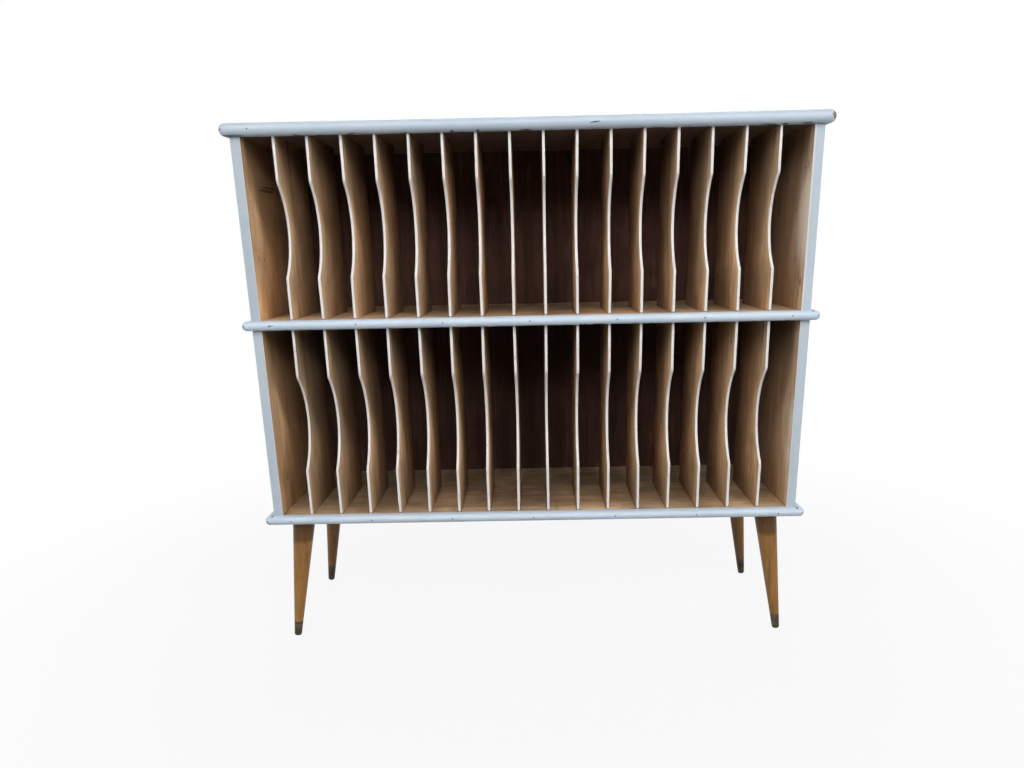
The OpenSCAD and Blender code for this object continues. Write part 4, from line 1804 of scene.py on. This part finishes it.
@dataclass
class Underframe:
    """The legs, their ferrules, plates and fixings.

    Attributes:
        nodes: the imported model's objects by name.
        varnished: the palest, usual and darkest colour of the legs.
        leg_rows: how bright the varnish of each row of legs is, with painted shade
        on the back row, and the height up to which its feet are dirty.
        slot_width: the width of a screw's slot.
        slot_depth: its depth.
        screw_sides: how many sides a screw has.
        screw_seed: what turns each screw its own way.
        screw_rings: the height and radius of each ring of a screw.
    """

    nodes: dict[str, bpy.types.Object]
    varnished: tuple[Colour, Colour, Colour] = (
        (0.310, 0.155, 0.045),
        (0.245, 0.118, 0.031),
        (0.170, 0.076, 0.021),
    )
    leg_rows: dict[str, tuple[float, float]] = field(
        default_factory=lambda: {"front": (1.0, 34 * MM), "back": (0.70, 41 * MM)}
    )
    slot_width: float = 0.9 * MM
    slot_depth: float = 1.0 * MM
    screw_sides: int = 24
    screw_seed: int = 3
    screw_rings: tuple[tuple[float, float], ...] = (
        (-15.2 * MM, 0.3 * MM),
        (-12.6 * MM, 1.6 * MM),
        (-11.8 * MM, 1.3 * MM),
        (-11.0 * MM, 1.7 * MM),
        (-10.2 * MM, 1.3 * MM),
        (-9.4 * MM, 1.7 * MM),
        (-8.6 * MM, 1.3 * MM),
        (-7.8 * MM, 1.7 * MM),
        (-2.42 * MM, 1.7 * MM),
        (-2.38 * MM, 3.45 * MM),
        (-1.70 * MM, 3.42 * MM),
        (-0.95 * MM, 3.05 * MM),
        (-0.40 * MM, 2.40 * MM),
        (-0.02 * MM, 1.50 * MM),
    )

    def dress_legs(self) -> None:
        """Varnish on the legs."""
        # The back row's varnish is dimmed by painted shade.
        for row, (shade, foot_z) in self.leg_rows.items():
            colours = dimmed(self.varnished, shade)
            figure = WoodFigure(Run.ALONG_Z, *colours, band=70.0, streak=330.0)
            varnish = StainedFinish(
                f"{row}_leg_varnish_painted_shade",
                figure,
                roughness=0.45,
                shine=0.2,
                gloss=0.12,
                gloss_roughness=0.22,
                head_painted_shadow=0.6,
                foot_z=foot_z,
            ).make()
            for hand in ("left", "right"):
                dress(self.nodes[f"{row}_{hand}_leg"], varnish)

    def dress_metal(self) -> bpy.types.Material:
        """Brass on the ferrules, and steel on the hidden metal.

        Returns:
            The steel's finish.
        """
        brass = MetalFinish(
            "ferrule_brass_rear_painted_shade",
            clean=(0.094, 0.075, 0.038),
            tarnished=(0.038, 0.030, 0.015),
            roughness=0.5,
            metallic=0.45,
            rear_painted_shade=0.5,
        ).make()
        dress(self.nodes["leg_ferrules"], brass)
        steel = MetalFinish(
            "fixing_steel",
            clean=(0.50, 0.50, 0.49),
            tarnished=(0.26, 0.24, 0.22),
            roughness=0.42,
            metallic=0.9,
        ).make()
        for name in ("leg_plates", "hanger_bolts", "lipping_pins", "back_pins"):
            dress(self.nodes[name], steel)
        return steel

    def build_screws(self, steel: bpy.types.Material) -> None:
        """Slotted round-headed screws under the leg plates.

        Args:
            steel: their finish.
        """
        down = Vector((0.0, 0.0, -1.0))
        points = []
        for low, high in solids_of(self.nodes["plate_screws"]):
            middle = (low + high) / 2
            points.append((Vector((middle.x, middle.y, low.z)), down))
        screw = PointFixings(
            "slotted_screw",
            self.screw_rings,
            self.screw_sides,
            slot_width=self.slot_width,
            slot_depth=self.slot_depth,
        )
        piece = screw.build("plate_screws_slotted", points, steel, self.screw_seed)
        settle(piece, "steel_fixing", "plate_screws")

    def build(self) -> None:
        """Dresses the legs and the metal, and makes the screws."""
        self.dress_legs()
        self.build_screws(self.dress_metal())


@dataclass
class PinStopping:
    """Dark stopping in the punched holes over the lipping pins.

    Attributes:
        nodes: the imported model's objects by name.
        painted_z: above this the stopping was painted over, except at the left.
        painted_x: where the painted ones start.
        sides: how many sides a plug has.
        seeds: what turns each dark and each painted plug its own way.
        filled: the rings of a plug that is flush with the paint.
        rings: the height and radius of each ring of a dark plug.
    """

    nodes: dict[str, bpy.types.Object]
    painted_z: float = 1000 * MM
    painted_x: float = -450 * MM
    sides: int = 18
    seeds: tuple[int, int] = (11, 12)
    filled: tuple[tuple[float, float], ...] = (
        (0.02 * MM, 1.44 * MM),
        (0.70 * MM, 1.46 * MM),
        (0.90 * MM, 1.38 * MM),
        (0.96 * MM, 0.80 * MM),
    )
    rings: tuple[tuple[float, float], ...] = (
        (0.02 * MM, 1.36 * MM),
        (0.30 * MM, 1.40 * MM),
        (0.44 * MM, 1.15 * MM),
        (0.50 * MM, 0.45 * MM),
    )

    def build(self) -> None:
        """Fills every punched hole to just below the paint."""
        dark, painted = [], []
        for low, high in solids_of(self.nodes["lipping_pins"]):
            middle = (low + high) / 2
            if high.y - low.y > high.x - low.x:
                point = (Vector((middle.x, low.y, middle.z)), Vector((0.0, -1.0, 0.0)))
            else:
                hand = math.copysign(1.0, middle.x)
                end = high.x if hand > 0.0 else low.x
                point = (Vector((end, middle.y, middle.z)), Vector((hand, 0.0, 0.0)))
            over = middle.z > self.painted_z and middle.x > self.painted_x
            (painted if over else dark).append(point)
        finish = StoppingFinish("pin_stopping").make()
        plug = PointFixings("stopping_plug", self.rings, self.sides, dish=0.10 * MM)
        piece = plug.build("lipping_pin_stopping", dark, finish, self.seeds[0])
        settle(piece, "dowel_wood")
        paint = bpy.data.materials["top_front_lipping_paint"]
        plug = PointFixings("painted_plug", self.filled, self.sides, dish=0.05 * MM)
        piece = plug.build("painted_pin_stopping", painted, paint, self.seeds[1])
        settle(piece, "painted_wood")


@dataclass
class Joinery:
    """The dowels inside the carcass.

    Attributes:
        nodes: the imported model's objects by name.
    """

    nodes: dict[str, bpy.types.Object]

    def build(self) -> None:
        """Dresses the dowels."""
        figure = WoodFigure(
            Run.ALONG_Z, (0.66, 0.50, 0.33), (0.58, 0.42, 0.26), (0.46, 0.31, 0.18), band=120.0
        )
        dress(self.nodes["carcass_dowels"], StainedFinish("bare_dowel", figure).make())


# ---------------------------------------------------------------------------
# Studio
# ---------------------------------------------------------------------------


@dataclass(frozen=True)
class PhotoCamera:
    """The photograph's camera, worked out from the stand's edges in it.

    Attributes:
        focal_px: its focal length in pixels.
        centre_x_px: where its axis meets the picture, from the left.
        centre_y_px: the same, from the top.
        width_px: the picture's width.
        height_px: the picture's height.
        sensor: the sensor's width in millimetres.
        pitch: how far it looks down, in radians.
        roll: how far it is turned about its axis.
        yaw: how far it looks to the left.
        place: where it stands.
    """

    focal_px: float = 767.0
    centre_x_px: float = 528.45
    centre_y_px: float = 464.67
    width_px: float = 1024.0
    height_px: float = 768.0
    sensor: float = 36.0
    pitch: float = 0.2805
    roll: float = -0.0212
    yaw: float = 0.0121
    place: tuple[float, float, float] = (9.36 * MM, -1641.4 * MM, 810.6 * MM)

    def build(self) -> None:
        """Makes the camera and gives it to the scene."""
        data = bpy.data.cameras.new("photo_camera")
        data.sensor_fit = "HORIZONTAL"
        data.sensor_width = self.sensor
        data.lens = self.focal_px / self.width_px * self.sensor
        data.shift_x = (self.width_px / 2 - self.centre_x_px) / self.width_px
        data.shift_y = (self.centre_y_px - self.height_px / 2) / self.width_px
        data.clip_start, data.clip_end = 0.05, 100.0
        ahead = Vector(
            (
                -math.sin(self.yaw) * math.cos(self.pitch),
                math.cos(self.yaw) * math.cos(self.pitch),
                -math.sin(self.pitch),
            )
        )
        level = Vector((math.cos(self.yaw), math.sin(self.yaw), 0.0))
        over = level.cross(ahead)
        right = level * math.cos(self.roll) + over * math.sin(self.roll)
        up = over * math.cos(self.roll) - level * math.sin(self.roll)
        turn = Matrix((right, up, -ahead)).transposed().to_4x4()
        camera = bpy.data.objects.new("photo_camera", data)
        camera.matrix_world = Matrix.Translation(Vector(self.place)) @ turn
        bpy.context.scene.collection.objects.link(camera)
        bpy.context.scene.camera = camera
        LOG.info("camera: lens %.2f mm", data.lens)


@dataclass(frozen=True)
class Softbox:
    """A broad flat lamp that faces the stand.

    Attributes:
        name: the lamp's name.
        azimuth: how far to the right of the front it stands, in degrees.
        elevation: how high it stands, in degrees.
        width: its width.
        height: its height.
        brightness: how bright its face is, where 1 is white.
        distance: how far it stands from the stand's middle.
        aim_z: the height of the point that it faces.
    """

    name: str
    azimuth: float
    elevation: float
    width: float
    height: float
    brightness: float
    distance: float = 3.4
    aim_z: float = 0.62

    def build(self) -> None:
        """Makes the lamp."""
        data = bpy.data.lights.new(self.name, "AREA")
        data.shape = "RECTANGLE"
        data.size, data.size_y = self.width, self.height
        data.energy = self.brightness * math.pi * self.width * self.height
        lamp = bpy.data.objects.new(self.name, data)
        azimuth, elevation = math.radians(self.azimuth), math.radians(self.elevation)
        away = Vector(
            (
                math.sin(azimuth) * math.cos(elevation),
                -math.cos(azimuth) * math.cos(elevation),
                math.sin(elevation),
            )
        )
        turn = away.to_track_quat("Z", "Y").to_matrix().to_4x4()
        spot = away * self.distance + Vector((0.0, 0.0, self.aim_z))
        lamp.matrix_world = Matrix.Translation(spot) @ turn
        bpy.context.scene.collection.objects.link(lamp)
        LOG.info("%s: brightness %.1f", self.name, self.brightness)


@dataclass(frozen=True)
class Studio:
    """The floor, the sky and the softboxes.

    Attributes:
        sky_strength: the soft light from all round.
        floor_colour: the floor.
        floor_size: half the floor's side.
        floor_glow: how much of the floor near the stand is seen as plain white.
        floor_fade: the distances between which the rest turns to white.
        softboxes: the lamps.
    """

    sky_strength: float = 0.05
    floor_colour: Colour = (0.45, 0.45, 0.45)
    floor_size: float = 30.0
    floor_glow: float = 0.9
    floor_fade: tuple[float, float] = (0.5, 1.8)
    softboxes: tuple[Softbox, ...] = (
        Softbox("left_softbox", -37.0, 43.0, 0.7, 0.8, 15.6),
        Softbox("right_softbox", 37.0, 43.0, 0.7, 0.8, 16.2),
        Softbox("front_softbox", 1.0, 28.0, 1.5, 0.7, 11.0),
        Softbox("front_strip", 1.0, 20.6, 5.0, 0.26, 10.0, 14.0),
        Softbox("top_softbox", 1.0, 45.0, 1.5, 0.7, 1.8),
        Softbox("left_fill", -15.0, 30.0, 0.8, 0.8, 2.6),
        Softbox("right_fill", 15.0, 30.0, 0.8, 0.8, 2.8),
        Softbox("right_side", 50.0, 25.0, 0.9, 0.9, 4.0),
        Softbox("left_wing", -68.0, 12.0, 0.4, 1.1, 16.5),
        Softbox("right_wing", 68.0, 12.0, 0.4, 1.1, 19.0),
        Softbox("rear_softbox", 180.0, 45.0, 2.4, 1.4, 5.0),
    )

    def build_world(self) -> None:
        """A soft even sky, seen as plain white."""
        world = bpy.data.worlds.new("studio_sky")
        world.use_nodes = True
        sheet = NodeSheet(world.node_tree)
        strength = sheet.node(
            "ShaderNodeMapRange",
            {"Value": sheet.seen(), "To Min": self.sky_strength, "To Max": 1.0},
        )
        sky = sheet.node("ShaderNodeBackground", {"Color": (1.0, 1.0, 1.0), "Strength": strength})
        sheet.join(sky, sheet.add("ShaderNodeOutputWorld").inputs["Surface"])
        bpy.context.scene.world = world

    def build_floor(self) -> None:
        """A wide pale floor that fades to white and keeps a soft shadow."""
        half = self.floor_size
        mesh = bpy.data.meshes.new("floor")
        mesh.from_pydata(
            [(-half, -half, 0.0), (half, -half, 0.0), (half, half, 0.0), (-half, half, 0.0)],
            [],
            [(0, 1, 2, 3)],
        )
        floor = bpy.data.objects.new("floor", mesh)
        bpy.context.scene.collection.objects.link(floor)
        sheet = ShaderSheet("pale_floor")
        sheet.finish(Base_Color=self.floor_colour, Roughness=0.8, Specular_IOR_Level=0.2)
        across, deep, _ = sheet.axes()
        far = sheet.span(sheet.length(across, deep), *self.floor_fade, self.floor_glow, 1.0)
        glow = sheet.node("ShaderNodeEmission", {})
        own = sheet.shader.outputs["BSDF"]
        blend = {0: sheet.times(far, sheet.seen()), 1: own, 2: glow}
        sheet.join(sheet.node("ShaderNodeMixShader", blend), sheet.output.inputs["Surface"])
        mesh.materials.append(sheet.material)

    def build(self) -> None:
        """Makes the studio."""
        bpy.context.scene.view_settings.view_transform = "Standard"
        self.build_world()
        self.build_floor()
        for softbox in self.softboxes:
            softbox.build()


# ---------------------------------------------------------------------------
# The whole
# ---------------------------------------------------------------------------


def main() -> None:
    """Builds the stand's looks in order and reports each piece."""
    logging.basicConfig(level=logging.INFO, format="%(name)s: %(message)s")
    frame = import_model()
    nodes = frame["nodes"]
    PhotoCamera().build()
    Studio().build()
    Carcass(nodes).build()
    Dividers().build()
    Underframe(nodes).build()
    PinStopping(nodes).build()
    Joinery(nodes).build()


if __name__ == "__main__":
    main()
